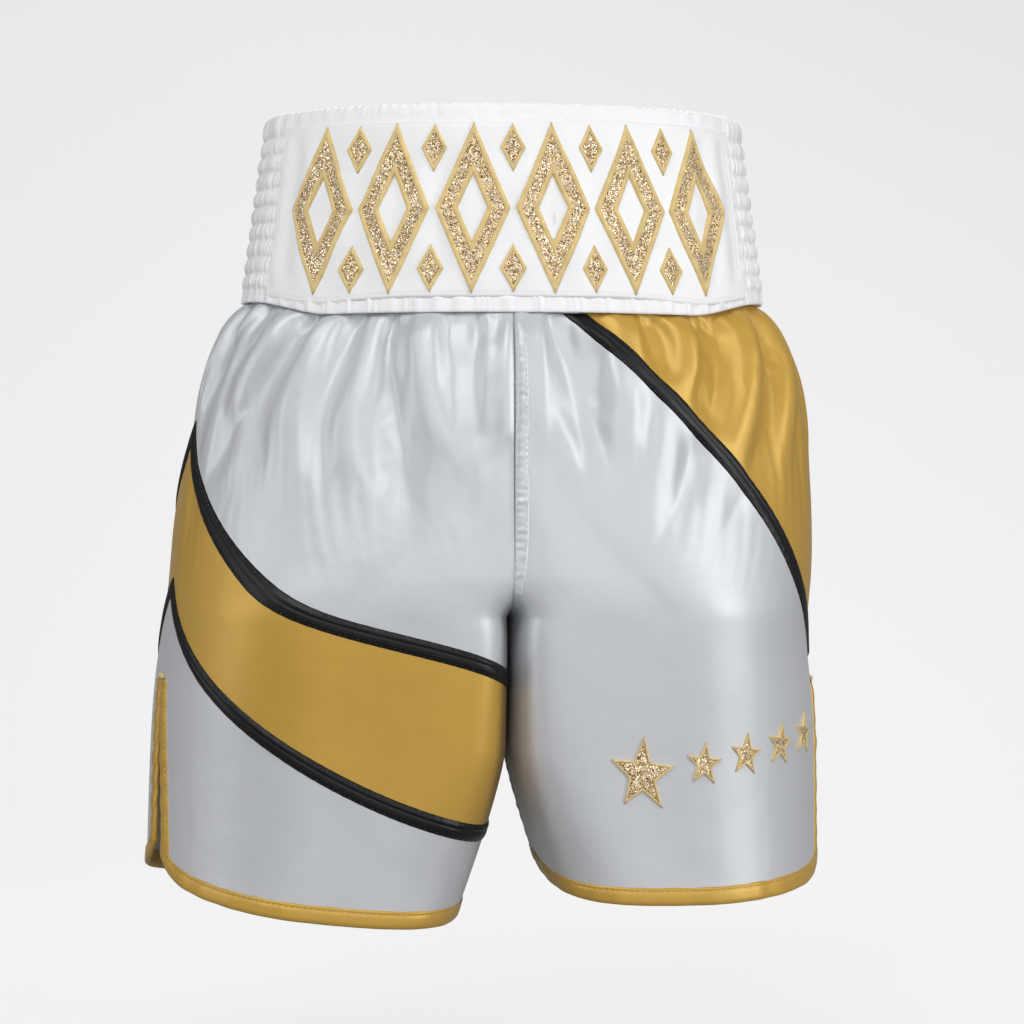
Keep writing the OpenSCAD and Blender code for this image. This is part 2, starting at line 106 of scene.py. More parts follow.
# Hems and side vents.
HEM_SIDE_LIFT = (30.0, 14.0)
HEM_INNER_LIFT = (1.0, 17.0)
HEM_CORNER_LIFT = 10.0
FRONT_LIFT = 8.0
VENT_H = 100.0
VENT_HALF_GAP = 6.0
BINDING_W = 11.0

# Ribbon lines. The left leg has two, from a side apex to the inseam; the right has one, from a
# point on the side seam up to the band.
LEFT_APEX = (203.0, 297.0)
LEFT_END = (359.0, 450.0)
LEFT_BOW = (6.0, 2.45)
LEFT_STRAIGHT = (0.445, 0.0)
RIGHT_POINT = 338.0
RIGHT_REACH = 0.837                        # share of the way to the centre seam, at the band
RIBBON_W = 10.0
SEAM_W = 9.0
CLOTH_T = 0.8

# Waistband: overlays, elastic rows, patches and cord.
OVERLAY_ANGLE = 64.0                       # degrees from an overlay's middle to its end
OVERLAY_TOP = 9.0
OVERLAY_BOTTOM = 119.0
OVERLAY_OUT = 2.1
ROW_H = 11.6
FIRST_ROW = 3.0                            # the stitched rows are one pitch apart below this
PATCH_PITCH = 49.0
PATCH_SIZE = (23.0, 53.0)                  # half-width and half-height
SMALL_SIZE = (8.0, 15.0)
SMALL_RISE = 37.0
BORDER_W = 3.4
STROKE_W = 13.0
PATCH_T = 0.8
CORD_HALF_T = 1.0

# Stars on the right leg, from the middle of its back towards the side.
STAR_SIZES = (24.0, 14.0, 14.0, 14.0, 14.0)
STAR_FIRST = 0.55
STAR_STEP = 0.095
STAR_GAP = 0.035                           # the large first star's extra room
STAR_DROPS = (410.0, 404.0, 399.0, 394.0, 389.0)
STAR_WAIST = 0.42                          # a star's inner radius as a share of its outer one
STAR_BORDER = 2.3
STAR_INSET = 1.6                           # from a star's outline to its glitter


# ---------- small helpers ----------

def clamp01(t):
    return np.clip(t, 0.0, 1.0)


def smooth(t):
    c = clamp01(t)
    return c * c * (3 - 2 * c)


def mix(a, b, t):
    return a + (b - a) * t


def settle(drop, length):
    """0 down to the waistband's lower edge, then nearing 1 over a length."""
    return 1 - np.exp(-np.maximum(0.0, drop - BAND_H) / length)


def soft_min(a, b, k):
    """The smaller of two values, rounded where they meet."""
    return np.minimum(a, b) - np.maximum(k - np.abs(a - b), 0) ** 2 / (4 * k)


def ripple(x, seed):
    """Smooth noise along one axis, about -1 to 1, with features about 1 unit apart."""
    draw = np.random.default_rng(seed)
    total = np.zeros_like(np.asarray(x, float))
    for _ in range(5):
        total = total + np.sin(x * draw.uniform(1.6, 4.6) + draw.uniform(0, 2 * math.pi))
    return total / 2.4


# ---------- shape of the body ----------

def outer_x(leg, drop):
    return (BAND_W + PUFF * settle(drop, PUFF_RUN)
            + (HIP_W[leg] - BAND_W - PUFF) * settle(drop, HIP_RUN[leg]))


def inner_x(leg, drop):
    share = clamp01((drop - PART_DROP) / (OUTSEAM[leg] - PART_DROP))
    return CROTCH_CLEAR + LEG_GAP[leg] * share ** 1.3


def mid_x(leg, drop):
    down = clamp01((drop - BAND_H) / (RISE - BAND_H))
    share = soft_min((1 + CROTCH_ROUND) * down ** CROTCH_RUN, 1.0, CROTCH_ROUND)
    return (outer_x(leg, drop) + inner_x(leg, drop)) / 2 * share


def half_w(leg, drop):
    return outer_x(leg, drop) - mid_x(leg, drop)


def half_d(drop):
    return (BAND_D + PUFF / 2 * settle(drop, PUFF_RUN)
            + (HIP_D - BAND_D - PUFF / 2) * settle(drop, 45.0)
            - (HIP_D - LEG_D) * smooth((drop - RISE + 60) / 220))


def side_angle(leg, face, drop):
    turn = SIDE_TURN + SIDE_TWIST[leg] * clamp01((drop - BAND_H) / (OUTSEAM[leg] - BAND_H))
    return np.radians(face * turn)


def seam_angle(leg, drop):
    return np.arccos(np.clip(-mid_x(leg, drop) / half_w(leg, drop), -1, 1))


def evened(leg):
    """The centre seam's angle, evened out over the 60 mm round each drop of DROP_TABLE."""
    weights = np.hanning(61)
    padded = np.pad(seam_angle(leg, DROP_TABLE), 30, mode="edge")
    return np.convolve(padded, weights / weights.sum(), mode="valid")


DROP_TABLE = np.arange(60.0, 560.0)
EVENED = [evened(leg) for leg in (LEFT, RIGHT)]


def even_angle(leg, drop):
    return np.interp(drop, DROP_TABLE, EVENED[leg])


def angle_at(leg, face, p, drop):
    """The angle round a leg at a share p of the way from the side seam to the centre seam."""
    start = side_angle(leg, face, drop)
    even = even_angle(leg, drop)
    return start + (even - start) * p + (seam_angle(leg, drop) - even) * smooth((p - 0.5) / 0.5)


def share_at(leg, face, drop, angle, dist):
    """Share of the way round that a distance along the fabric takes up at an angle."""
    speed = np.hypot(half_w(leg, drop) * np.sin(angle), half_d(drop) * np.cos(angle))
    return dist / (even_angle(leg, drop) - side_angle(leg, face, drop)) / speed


def side_share(leg, face, drop, dist):
    return share_at(leg, face, drop, side_angle(leg, face, drop), dist)


def centre_share(leg, face, drop, dist):
    return share_at(leg, face, drop, seam_angle(leg, drop), dist)


def hem_line(leg, face, p):
    front = FRONT_LIFT * (1 - p * p) if face == FRONT else 0.0
    return (OUTSEAM[leg] - HEM_SIDE_LIFT[leg] * (1 - p) ** 3 - HEM_INNER_LIFT[leg] * p ** 4
            - HEM_CORNER_LIFT * np.exp(-p / 0.03) - front)


def whole_share(leg, p, drop):
    """A share p of the way to the centre seam, as a share of the way round a whole leg."""
    side = side_angle(leg, BACK, drop)
    return (angle_at(leg, BACK, p, drop) - side) / (math.pi - side)


def ribbon_drop(i, q):
    q = clamp01(q)
    return mix(LEFT_APEX[i], LEFT_END[i], mix(1 - (1 - q) ** LEFT_BOW[i], q, LEFT_STRAIGHT[i]))


def ribbon_slant(i, q):
    r = np.minimum(q, 0.98)
    run = math.pi * (half_w(LEFT, RISE) + half_d(RISE)) / 2
    return np.hypot(1, (ribbon_drop(i, r + 0.01) - ribbon_drop(i, r)) / 0.01 / run)


def left_line(i, p, out=0.0):
    """A left ribbon's line; `out` is a distance below its middle, square to it."""
    drop = 300.0 + 0 * p
    for _ in range(40):
        q = whole_share(LEFT, p, drop)
        drop = mix(drop, ribbon_drop(i, q) + out * ribbon_slant(i, q), 0.5)
    return drop


def right_line(p, out=0.0):
    q = np.minimum(p, RIGHT_REACH)
    drop = mix(RIGHT_POINT, BAND_H, q / RIGHT_REACH)
    run = seam_angle(RIGHT, drop) * (half_w(RIGHT, drop) + half_d(drop)) / 2
    slant = np.hypot(1, (RIGHT_POINT - BAND_H) / RIGHT_REACH / run)
    return mix(RIGHT_POINT, BAND_H, p / RIGHT_REACH) + out * slant


def vent_top(leg):
    return hem_line(leg, FRONT, 0.0) - VENT_H


def drawn_up(points):
    """The elastic draws the waistband's lower edge up at the sides, and the cloth below follows."""
    x, drop = np.abs(points[..., 0]), -points[..., 2]
    lift = SIDE_RISE * smooth((x - 112) / 55) * clamp01(drop / BAND_H)
    lift = lift * np.exp(-np.maximum(drop - BAND_H, 0) / 55)
    return points + np.stack([0 * x, 0 * x, lift], axis=-1)


# ---------- folds ----------

DRAPE_COLUMNS = 150                        # simulated points from back centre to front centre
DRAPE_ROWS = 96                            # and from the waistband to the hem
DRAPE_STEPS = 260
GATHER = (0.08, 0.10)                      # how much wider the cloth is than the band it's sewn to
GATHER_RUN = (60.0, 50.0)                  # how far below the band that fullness reaches
SLACK = 0.010                              # fullness of the rest of the cloth
FULL_DOWN = 1.003                          # how much longer than the body shape it hangs
SHEAR = 0.2                                # strength of the diagonals
BENDS = ((2, 0.12), (5, 0.5))              # points spanned, and how strongly they stay flat
HOLD = (0.003, 0.012)                      # pull towards the body shape, at the band and low down
SAG = 0.01
LEVELLED = 0.9                             # share of the slow swell taken off to keep the outline
RIDGE_SHIFT = 0.9                          # how far ridges move in, so that the outline stays
CALM = (0.5, 0.9)                          # share of the movement taken off low down and at the crotch
INWARD = 5.0                               # how far the cloth can move inside the body shape
FACE_ROUND = 205.0                         # from the side seam to the centre seam, about
GATHER_ROUND = 200.0                       # the same, as the gathers count it
STIFF_REACH = 16.0                         # how far from a ribbon's middle the folds are damped

# Places down each side where the cloth hangs further in: drop, reach and depth.
TUCKS = ([(190.0, 75.0, 4.5), (300.0, 45.0, 4.0)], [(135.0, 22.0, 6.0), (330.0, 36.0, 5.0)])

# Creases pinched at the waistband, from the side seam's end of the panel to the centre: share of
# the way round, depth, width of the steep side, width of the gentle side, length and slant.
CREASES = (
    [(0.10, 3.0, 3.0, 9, 60, -0.50), (0.20, 3.5, 3.0, 11, 75, -0.50), (0.30, 2.5, 2.5, 8, 45, -0.50),
     (0.43, 4.5, 3.0, 14, 95, -0.50), (0.52, 2.2, 2.5, 7, 35, -0.25), (0.585, 4.0, 3.0, 12, 80, -0.08),
     (0.685, 6.5, 3.2, -16, 150, 0.10), (0.76, 2.2, 2.5, 8, 38, 0.10), (0.825, 3.2, 3.0, 10, 50, 0.05),
     (0.90, 2.5, 2.5, 8, 70, 0.15), (0.955, 2.0, 2.5, 6, 40, 0.10)],
    [(0.10, 3.0, 3.0, 9, 80, 0.50), (0.19, 4.5, 3.5, -13, 150, 0.42), (0.29, 2.5, 2.5, 8, 50, 0.45),
     (0.37, 4.0, 3.0, 10, 90, 0.40), (0.46, 5.0, 3.5, -14, 130, 0.30), (0.54, 2.5, 2.5, 8, 50, 0.25),
     (0.62, 3.5, 3.0, 11, 75, 0.20), (0.70, 2.2, 2.5, 7, 40, 0.10), (0.775, 4.5, 3.0, 12, 85, 0.06),
     (0.90, 4.5, 3.0, -10, 95, -0.10), (0.955, 2.0, 2.5, 6, 35, 0.0)],
)


def creased(leg, face, p, e, broad):
    """The creases, as a lift off the plain shape: broad hollows to start from, or their crisp lines."""
    total = np.zeros(np.broadcast(p, e).shape)
    for where, depth, steep, gentle, length, slant in CREASES[leg]:
        mid = where if face == BACK else 0.985 - 0.95 * where
        bend = 4.0 * np.sin(e / 34.0 + 17 * where)
        across = (p - mid) * FACE_ROUND - slant * e * face - bend * smooth(e / 60)
        across = across * (1 if gentle > 0 else -1) * face
        wide = np.where(across > 0, abs(gentle), steep + broad) * (1 + e / (1.4 * length))
        fade = np.exp(-(e / length) ** 1.6) * (1 - 0.45 * np.exp(-e / 4)) * (1 - smooth((e - 90) / 80))
        total = total - depth * np.exp(-np.abs(across / wide) ** 1.7) * fade
    return total


def pleats(s, e, pitch, length, height, seed):
    """Rounded ridges with creases between them, hanging from the waistband and fading out."""
    phase = (s + 0.4 * pitch * ripple(s / (2.2 * pitch), seed) + 0.05 * e) / pitch
    ridge = np.abs(np.sin(math.pi * phase)) ** 0.8
    reach = length * (1 + 0.6 * ripple(s / (1.7 * pitch), seed + 1))
    strength = 0.62 + 0.38 * ripple(s / (1.3 * pitch), seed + 2)
    return height * strength * ridge * (1 - np.exp(-e / 3)) * np.exp(-(e / np.maximum(reach, 4)) ** 1.4)


def seam_fade(p):
    """0 at the centre seam, 1 clear of it."""
    return smooth((1 - p) / 0.10)


def tuck(leg, drop):
    """How far the hanging cloth lies inside the body shape at the side."""
    return sum(depth * np.exp(-((drop - where) / reach) ** 2) for where, reach, depth in TUCKS[leg])


def plain_garment(leg, face, p, drop, lift, gap):
    """A point of the body shape, lifted outwards; gap is half the vent's width there."""
    angle = angle_at(leg, face, mix(side_share(leg, face, drop, gap), 1.0, p), drop)
    even = even_angle(leg, drop) - math.pi / 2
    inner = clamp01((angle - math.pi / 2) / np.maximum(even, 0.05))
    swell = INNER_SWELL * np.sin(math.pi * inner) ** 2 * smooth(even / 0.9)
    lift = lift + swell - tuck(leg, drop) * np.maximum(np.cos(angle), 0) ** 2
    side = -1 if leg == LEFT else 1
    x = side * (mid_x(leg, drop) + (half_w(leg, drop) + lift) * np.cos(angle))
    depth = np.sin(angle)
    power = mix(SQUARE[0], SQUARE[1], smooth((drop - RISE) / 170))
    squared = 1 - (1 - np.maximum(depth, 0)) ** power
    depth = np.where(angle > math.pi / 2, squared, depth)
    y = -face * (half_d(drop) + lift) * depth
    return np.stack(np.broadcast_arrays(x, y, -drop), axis=-1)


def pull(cloth, a, b, rest, stiff):
    """Moves two sets of joined points towards their rest distance."""
    between = cloth[b] - cloth[a]
    length = np.linalg.norm(between, axis=-1, keepdims=True)
    shift = between * (0.5 * stiff * (1 - rest[..., None] / np.maximum(length, 1e-6)))
    cloth[a] += shift
    cloth[b] -= shift


def softened(grid, times):
    """The same movement with its short waves smoothed away."""
    for _ in range(times):
        padded = np.pad(grid, ((1, 1), (1, 1), (0, 0)), mode="edge")
        grid = (padded[:-2, 1:-1] + padded[2:, 1:-1] + padded[1:-1, :-2] + padded[1:-1, 2:]) / 4
    return grid


LINE_P = np.linspace(0, 1, 201)
LINE_DROPS = ([left_line(0, LINE_P), left_line(1, LINE_P)], [right_line(LINE_P)])


def near_ribbon(leg, p, drop):
    """1 at a ribbon, falling to 0 beside it: a ribbon is stiffer than the cloth."""
    lines = [np.interp(p, LINE_P, line) for line in LINE_DROPS[leg]]
    return clamp01(sum(np.exp(-((drop - line) / STIFF_REACH) ** 2) for line in lines))


def calm(p, drop):
    """Share of the simulated movement that is kept: the cloth hangs smoothly below the hips."""
    low = CALM[0] * smooth((drop - 190) / 90)
    crotch = CALM[1] * np.exp(-((drop - RISE) / 50) ** 2) * smooth((p - 0.25) / 0.45)
    return (1 - low) * (1 - crotch)


def drape(leg):
    """Cloth simulation of one leg. Returns how far each simulated point moves off the plain shape."""
    c = np.linspace(0, 2, DRAPE_COLUMNS)
    drop = np.linspace(BAND_H, OUTSEAM[leg], DRAPE_ROWS)
    halves = []
    for face, some in ((BACK, c[c <= 1]), (FRONT, c[c > 1])):
        p = (1 - some if face == BACK else some - 1)[:, None]
        e = drop[None, :] - BAND_H
        plain = plain_garment(leg, face, p, drop[None, :], 0.0, 0.0)
        out = plain_garment(leg, face, p, drop[None, :], 1.0, 0.0) - plain
        seed = 40 + 20 * leg + (0 if face == BACK else 7)
        s = (1 - p if face == BACK else 1 + p) * GATHER_ROUND
        lift = 1.3 * creased(leg, face, p, e, 5.0) + pleats(s, e, 17.0, 20.0, 0.8, seed)
        lift = lift + 2.6 * ripple((s + 0.2 * e) / 55.0, seed + 9) * smooth(e / 90)
        halves.append((plain, out, (lift * seam_fade(p))[..., None]))
    plain, out, lift = (np.concatenate([h[k] for h in halves]) for k in range(3))
    cloth = plain + out * lift
    e = drop - BAND_H
    full = 1 + SLACK + GATHER[leg] * np.exp(-(e / GATHER_RUN[leg]) ** 1.3)
    step_across = np.diff(plain, axis=0) * full[None, :, None]
    step_down = np.diff(plain, axis=1) * FULL_DOWN
    across = np.linalg.norm(step_across, axis=-1)
    down = np.linalg.norm(step_down, axis=-1)
    cell_across = (step_across[:, 1:] + step_across[:, :-1]) / 2
    cell_down = (step_down[1:] + step_down[:-1]) / 2
    falling = np.linalg.norm(cell_across + cell_down, axis=-1)
    rising = np.linalg.norm(cell_across - cell_down, axis=-1)
    wide = {k: np.linalg.norm(plain[k:] - plain[:-k], axis=-1) * full for k, _ in BENDS}
    tall = {k: np.linalg.norm(plain[:, k:] - plain[:, :-k], axis=-1) for k, _ in BENDS}
    hold = mix(HOLD[0], HOLD[1], smooth(e / 160))[None, :, None]
    for _ in range(DRAPE_STEPS):
        for odd in (0, 1):
            pull(cloth, np.s_[odd:-1:2], np.s_[odd + 1::2], across[odd::2], 1.0)
            pull(cloth, np.s_[:, odd:-1:2], np.s_[:, odd + 1::2], down[:, odd::2], 1.0)
            pull(cloth, np.s_[odd:-1:2, :-1], np.s_[odd + 1::2, 1:], falling[odd::2], SHEAR)
            pull(cloth, np.s_[odd:-1:2, 1:], np.s_[odd + 1::2, :-1], rising[odd::2], SHEAR)
        for reach, stiff in BENDS:
            for k in range(2 * reach):
                pull(cloth, np.s_[k:-reach:2 * reach], np.s_[k + reach::2 * reach],
                     wide[reach][k::2 * reach], stiff)
                pull(cloth, np.s_[:, k:-reach:2 * reach], np.s_[:, k + reach::2 * reach],
                     tall[reach][:, k::2 * reach], stiff)
        cloth += hold * (plain - cloth)
        cloth[..., 2] -= SAG
        depth = np.sum((cloth - plain) * out, axis=-1, keepdims=True)
        cloth += out * np.maximum(-INWARD - depth, 0)
        cloth[:, 0] = plain[:, 0]
        cloth[0], cloth[-1] = plain[0], plain[-1]
    move = cloth - plain
    move = move - LEVELLED * softened(move, 400)
    height = np.sum(move * out, axis=-1, keepdims=True)
    move = move - out * RIDGE_SHIFT * np.sqrt(softened(height ** 2, 120))
    p, drop = np.abs(1 - c)[:, None], drop[None, :]
    move = mix(move, softened(move, 60), near_ribbon(leg, p, drop)[..., None])
    return move * calm(p, drop)[..., None]


def spline(t):
    """The four weights of a smooth cubic between grid points."""
    return ((1 - t) ** 3 / 6, (3 * t ** 3 - 6 * t ** 2 + 4) / 6,
            (-3 * t ** 3 + 3 * t ** 2 + 3 * t + 1) / 6, t ** 3 / 6)


DRAPED = [drape(leg) for leg in (LEFT, RIGHT)]


def draped(leg, c, drop):
    """The simulated movement at any place on a leg."""
    grid = DRAPED[leg]
    u = clamp01(c / 2) * (DRAPE_COLUMNS - 1)
    v = clamp01((drop - BAND_H) / (OUTSEAM[leg] - BAND_H)) * (DRAPE_ROWS - 1)
    i = np.minimum(u.astype(int), DRAPE_COLUMNS - 2)
    j = np.minimum(v.astype(int), DRAPE_ROWS - 2)
    total = 0.0
    for k, weight_u in enumerate(spline(u - i)):
        for m, weight_v in enumerate(spline(v - j)):
            at = grid[np.clip(i + k - 1, 0, DRAPE_COLUMNS - 1), np.clip(j + m - 1, 0, DRAPE_ROWS - 1)]
            total = total + at * (weight_u * weight_v)[..., None]
    return total


def puckers(leg, face, p, drop):
    """Crisp creases, and fine gathers right below the waistband where the cloth is stitched to it."""
    s = (1 - p if face == BACK else 1 + p) * GATHER_ROUND
    e = drop - BAND_H
    fine = pleats(s, e, 10.5, 15.0, 1.5, 90 + leg)
    crisp = 0.75 * creased(leg, face, p, e, 0.0) * (1 - near_ribbon(leg, p, drop))
    return (fine + crisp) * seam_fade(p)


def garment(leg, face, p, drop, out=0.0):
    """A point on the fabric's outer face; `out` lifts it off."""
    p, drop, out = np.broadcast_arrays(np.asarray(p, float), drop, out)
    gap = VENT_HALF_GAP * clamp01((drop - vent_top(leg)) / VENT_H) ** 0.8
    lift = out + puckers(leg, face, p, np.maximum(drop, BAND_H))
    point = plain_garment(leg, face, p, drop, lift, gap)
    point = point + draped(leg, 1 - p if face == BACK else 1 + p, drop)
    side = -1 if leg == LEFT else 1
    point[..., 0] = side * np.maximum(side * point[..., 0], 0.02 + 0.3 * smooth((drop - RISE) / 8))
    return drawn_up(point)


def band_point(angle, drop, out):
    """A point of the waistband; angle is in radians from the back centre."""
    angle, drop, out = np.broadcast_arrays(np.asarray(angle, float), drop, out)
    flare = BAND_FLARE * (1 - drop / BAND_H)
    return drawn_up(np.stack([(BAND_W - flare + out) * np.sin(angle),
                              -(BAND_D - FLARE_DEPTH * flare + out) * np.cos(angle),
                              -drop], axis=-1))


# ---------- meshes ----------

def add_piece(name, points, faces, material, uvs=None):
    mesh = bpy.data.meshes.new(name)
    mesh.from_pydata((np.asarray(points) * METRES).tolist(), [], faces)
    mesh.update()
    mesh.polygons.foreach_set("use_smooth", [True] * len(mesh.polygons))
    if uvs is not None:
        layer = mesh.uv_layers.new(name="along_across")
        loops = np.zeros(len(mesh.loops), int)
        mesh.loops.foreach_get("vertex_index", loops)
        layer.data.foreach_set("uv", np.asarray(uvs)[loops].astype(np.float32).ravel())
    mesh.materials.append(material)
    piece = bpy.data.objects.new(name, mesh)
    bpy.context.scene.collection.objects.link(piece)
    return piece


class Solid:
    """Collects closed shells and rings into one mesh."""

    def __init__(self):
        self.points, self.faces, self.uvs, self.count = [], [], [], 0

    def add(self, points, faces, uvs=None):
        points = np.asarray(points, float).reshape(-1, 3)
        self.points.append(points)
        self.faces += [[v + self.count for v in face] for face in faces]
        self.uvs.append(np.zeros((len(points), 2)) if uvs is None else np.asarray(uvs).reshape(-1, 2))
        self.count += len(points)

    def tube(self, grid, closed=False, flip=False):
        """grid[i][j]: sections i along the piece, each a closed loop of points j."""
        n, m = grid.shape[:2]
        i = np.arange(n if closed else n - 1)[:, None]
        j = np.arange(m)[None, :]
        k, q = (i + 1) % n, (j + 1) % m
        quads = np.stack([i * m + j, i * m + q, k * m + q, k * m + j], -1).reshape(-1, 4)
        along = np.concatenate([[0], np.cumsum(np.linalg.norm(np.diff(grid[:, 0], axis=0), axis=1))])
        uvs = np.stack(np.broadcast_arrays(along[:, None], np.linspace(0, 1, m)[None, :]), -1)
        if flip:
            quads = quads[:, ::-1]
        faces = quads.tolist()
        if not closed:
            first, last = list(range(m)), list(range((n - 1) * m, n * m))
            faces += [last, first[::-1]] if not flip else [last[::-1], first]
        self.add(grid, faces, uvs)

    def sheet(self, outer, inner, flip=False):
        """A closed thin sheet between two matching grids of points."""
        n, m = outer.shape[:2]
        self.tube(np.concatenate([outer, inner[:, ::-1]], axis=1), flip=flip)
        # The long closing faces of the two ends become strips of quads.
        self.faces = self.faces[:-2]
        base = self.count - n * m * 2
        for row in (0, n - 1):
            start = base + row * 2 * m
            for j in range(m - 1):
                quad = [start + j, start + j + 1, start + 2 * m - 2 - j, start + 2 * m - 1 - j]
                self.faces.append(quad if (row == 0) == flip else quad[::-1])

    def piece(self, name, material):
        return add_piece(name, np.concatenate(self.points), self.faces, material,
                         np.concatenate(self.uvs))


def turned(leg, face):
    return (leg == LEFT) != (face == FRONT)


PANEL_EDGE = 0.0007                        # share of the way round that a panel's edge takes to turn in
CROTCH_DEEP = 2.4                          # how much further in the hidden face lies at the crotch


def panel(leg, face, hi, lo, columns=150, rows=130, stop=1.0):
    """One fabric panel between two lines; hi and lo give a drop for every p."""
    p = np.linspace(0, stop, columns)[1:-1]
    p = np.concatenate([[0, PANEL_EDGE], p, [stop - PANEL_EDGE, stop]])[:, None]
    t = np.linspace(0, 1, rows)[None, :]
    drop = mix(hi(p), lo(p), t)
    solid = Solid()
    inner = -CLOTH_T - CROTCH_DEEP * np.exp(-((drop - RISE) / 14) ** 2)
    solid.sheet(garment(leg, face, p, drop), garment(leg, face, p, drop, inner), flip=turned(leg, face))
    return solid


def ribbon_reach(p):
    """A ribbon's half-width, a little narrower towards the side seam."""
    return RIBBON_W / 2 * (0.82 + 0.3 * smooth(p / 0.25))


def ribbon(leg, face, line, stop=1.0, top=0.0):
    """A black ribbon trim: a soft pillow with a stitched groove beside each edge."""
    p = np.linspace(0, stop, 220)[:, None]
    across = np.linspace(-1, 1, 19)[None, :]
    drop = np.maximum(line(p, across * ribbon_reach(p)), top)
    pillow = 1.5 * (1 - np.abs(across) ** 5) - 0.55 * np.exp(-((across + 0.15) / 0.08) ** 2)
    groove = 0.5 * np.exp(-((np.abs(across) - 0.72) / 0.07) ** 2)
    pucker = 0.12 * np.sin(p * 260) * np.exp(-((np.abs(across) - 0.8) / 0.2) ** 2)
    solid = Solid()
    solid.sheet(garment(leg, face, p, drop, pillow - groove + pucker - 0.1),
                garment(leg, face, p, drop, -CLOTH_T - 0.1), flip=turned(leg, face))
    return solid


# A binding's section: how far back from the folded edge, and how far out of the fabric. Its
# stitched groove lies HEM_GROOVE from its free edge.
HEM_GROOVE = 2.4
BINDING_SECTION = [(BINDING_W, -0.4), (BINDING_W - 0.6, 0.75), (BINDING_W - 1.8, 0.95),
                   (BINDING_W - HEM_GROOVE, 0.55), (BINDING_W - 3.0, 0.95), (6.0, 1.15), (3.0, 1.25),
                   (1.0, 1.1), (0.1, 0.5), (-0.2, -0.4), (0.1, -1.3), (1.0, -1.9), (3.0, -2.0),
                   (BINDING_W - 1.0, -1.9), (BINDING_W, -1.3)]


def binding(leg, face):
    back, out = np.array(BINDING_SECTION).T
    solid = Solid()
    p = np.linspace(0, 1, 150)[:, None]
    wobble = 0.25 * ripple(p * 26, 71 + leg)
    solid.tube(garment(leg, face, p, hem_line(leg, face, p) - back[None, :], out[None, :] + wobble),
               flip=turned(leg, face))
    drop = np.linspace(vent_top(leg) - 2, float(hem_line(leg, face, 0.0)), 60)[:, None]
    solid.tube(garment(leg, face, side_share(leg, face, drop, back[None, :]), drop,
                       out[None, :] + 0.25 * ripple(drop / 9, 75 + leg)), flip=not turned(leg, face))
    return solid


# ---------- stitching ----------

def stitches(solid, path, out_from, length=2.6, gap=1.2, width=0.28):
    """Small thread segments along a path; out_from is the matching path below the surface."""
    path, out_from = np.asarray(path), np.asarray(out_from)
    along = np.concatenate([[0], np.cumsum(np.linalg.norm(np.diff(path, axis=0), axis=1))])
    starts = np.arange(0.5, along[-1] - length, length + gap)

    def at(s, line):
        return np.stack([np.interp(s, along, line[:, k]) for k in range(3)], -1)

    a, b = at(starts, path), at(starts + length, path)
    normal = at(starts + length / 2, path) - at(starts + length / 2, out_from)
    normal /= np.linalg.norm(normal, axis=1)[:, None]
    direction = b - a
    direction /= np.linalg.norm(direction, axis=1)[:, None]
    side = np.cross(direction, normal) * width
    mid = (a + b) / 2
    rise = normal * width * 1.3
    corners = np.stack([a - rise * 0.6, b - rise * 0.6, mid + side, mid + rise, mid - side, mid - rise], 1)
    faces = np.array([[0, 2, 3], [0, 3, 4], [0, 4, 5], [0, 5, 2],
                      [1, 3, 2], [1, 4, 3], [1, 5, 4], [1, 2, 5]])
    offsets = np.arange(len(starts))[:, None, None] * 6
    solid.add(corners, (faces[None] + offsets).reshape(-1, 3).tolist())


def leg_stitches(solid, leg, face, p, drop, out):
    stitches(solid, garment(leg, face, p, drop, out), garment(leg, face, p, drop, out - 3))


# ---------- materials ----------

def material(name, build):
    made = bpy.data.materials.new(name)
    made.use_nodes = True
    tree = made.node_tree
    build(tree, tree.nodes, tree.nodes["Principled BSDF"])
    return made


def link(tree, a, b):
    tree.links.new(a, b)


def put(node, **values):
    """Sets inputs of a node by name, with _ for each space in the name."""
    for name, value in values.items():
        node.inputs[name.replace("_", " ")].default_value = value


def noise(tree, nodes, scale, detail=3.0):
    where = nodes.new("ShaderNodeTexCoord")
    made = nodes.new("ShaderNodeTexNoise")
    put(made, Scale=scale, Detail=detail)
    link(tree, where.outputs["Object"], made.inputs["Vector"])
    return made


def blend_colours(tree, nodes, factor, light, shade):
    made = nodes.new("ShaderNodeMix")
    made.data_type = "RGBA"
    put(made, A=(*light, 1), B=(*shade, 1))
    link(tree, factor, made.inputs["Factor"])
    return made.outputs["Result"]


def vector_math(tree, nodes, operation, a, b=None):
    """A vector operation on an output and another output, a fixed vector or a scale."""
    made = nodes.new("ShaderNodeVectorMath")
    made.operation = operation
    link(tree, a, made.inputs[0])
    if operation == "SCALE":
        put(made, Scale=b)
    elif isinstance(b, tuple):
        made.inputs[1].default_value = b
    elif b is not None:
        link(tree, b, made.inputs[1])
    return made.outputs["Vector"]


def bump(tree, nodes, height, strength, distance, below=None):
    made = nodes.new("ShaderNodeBump")
    put(made, Strength=strength, Distance=distance)
    link(tree, height, made.inputs["Height"])
    if below is not None:
        link(tree, below.outputs["Normal"], made.inputs["Normal"])
    return made


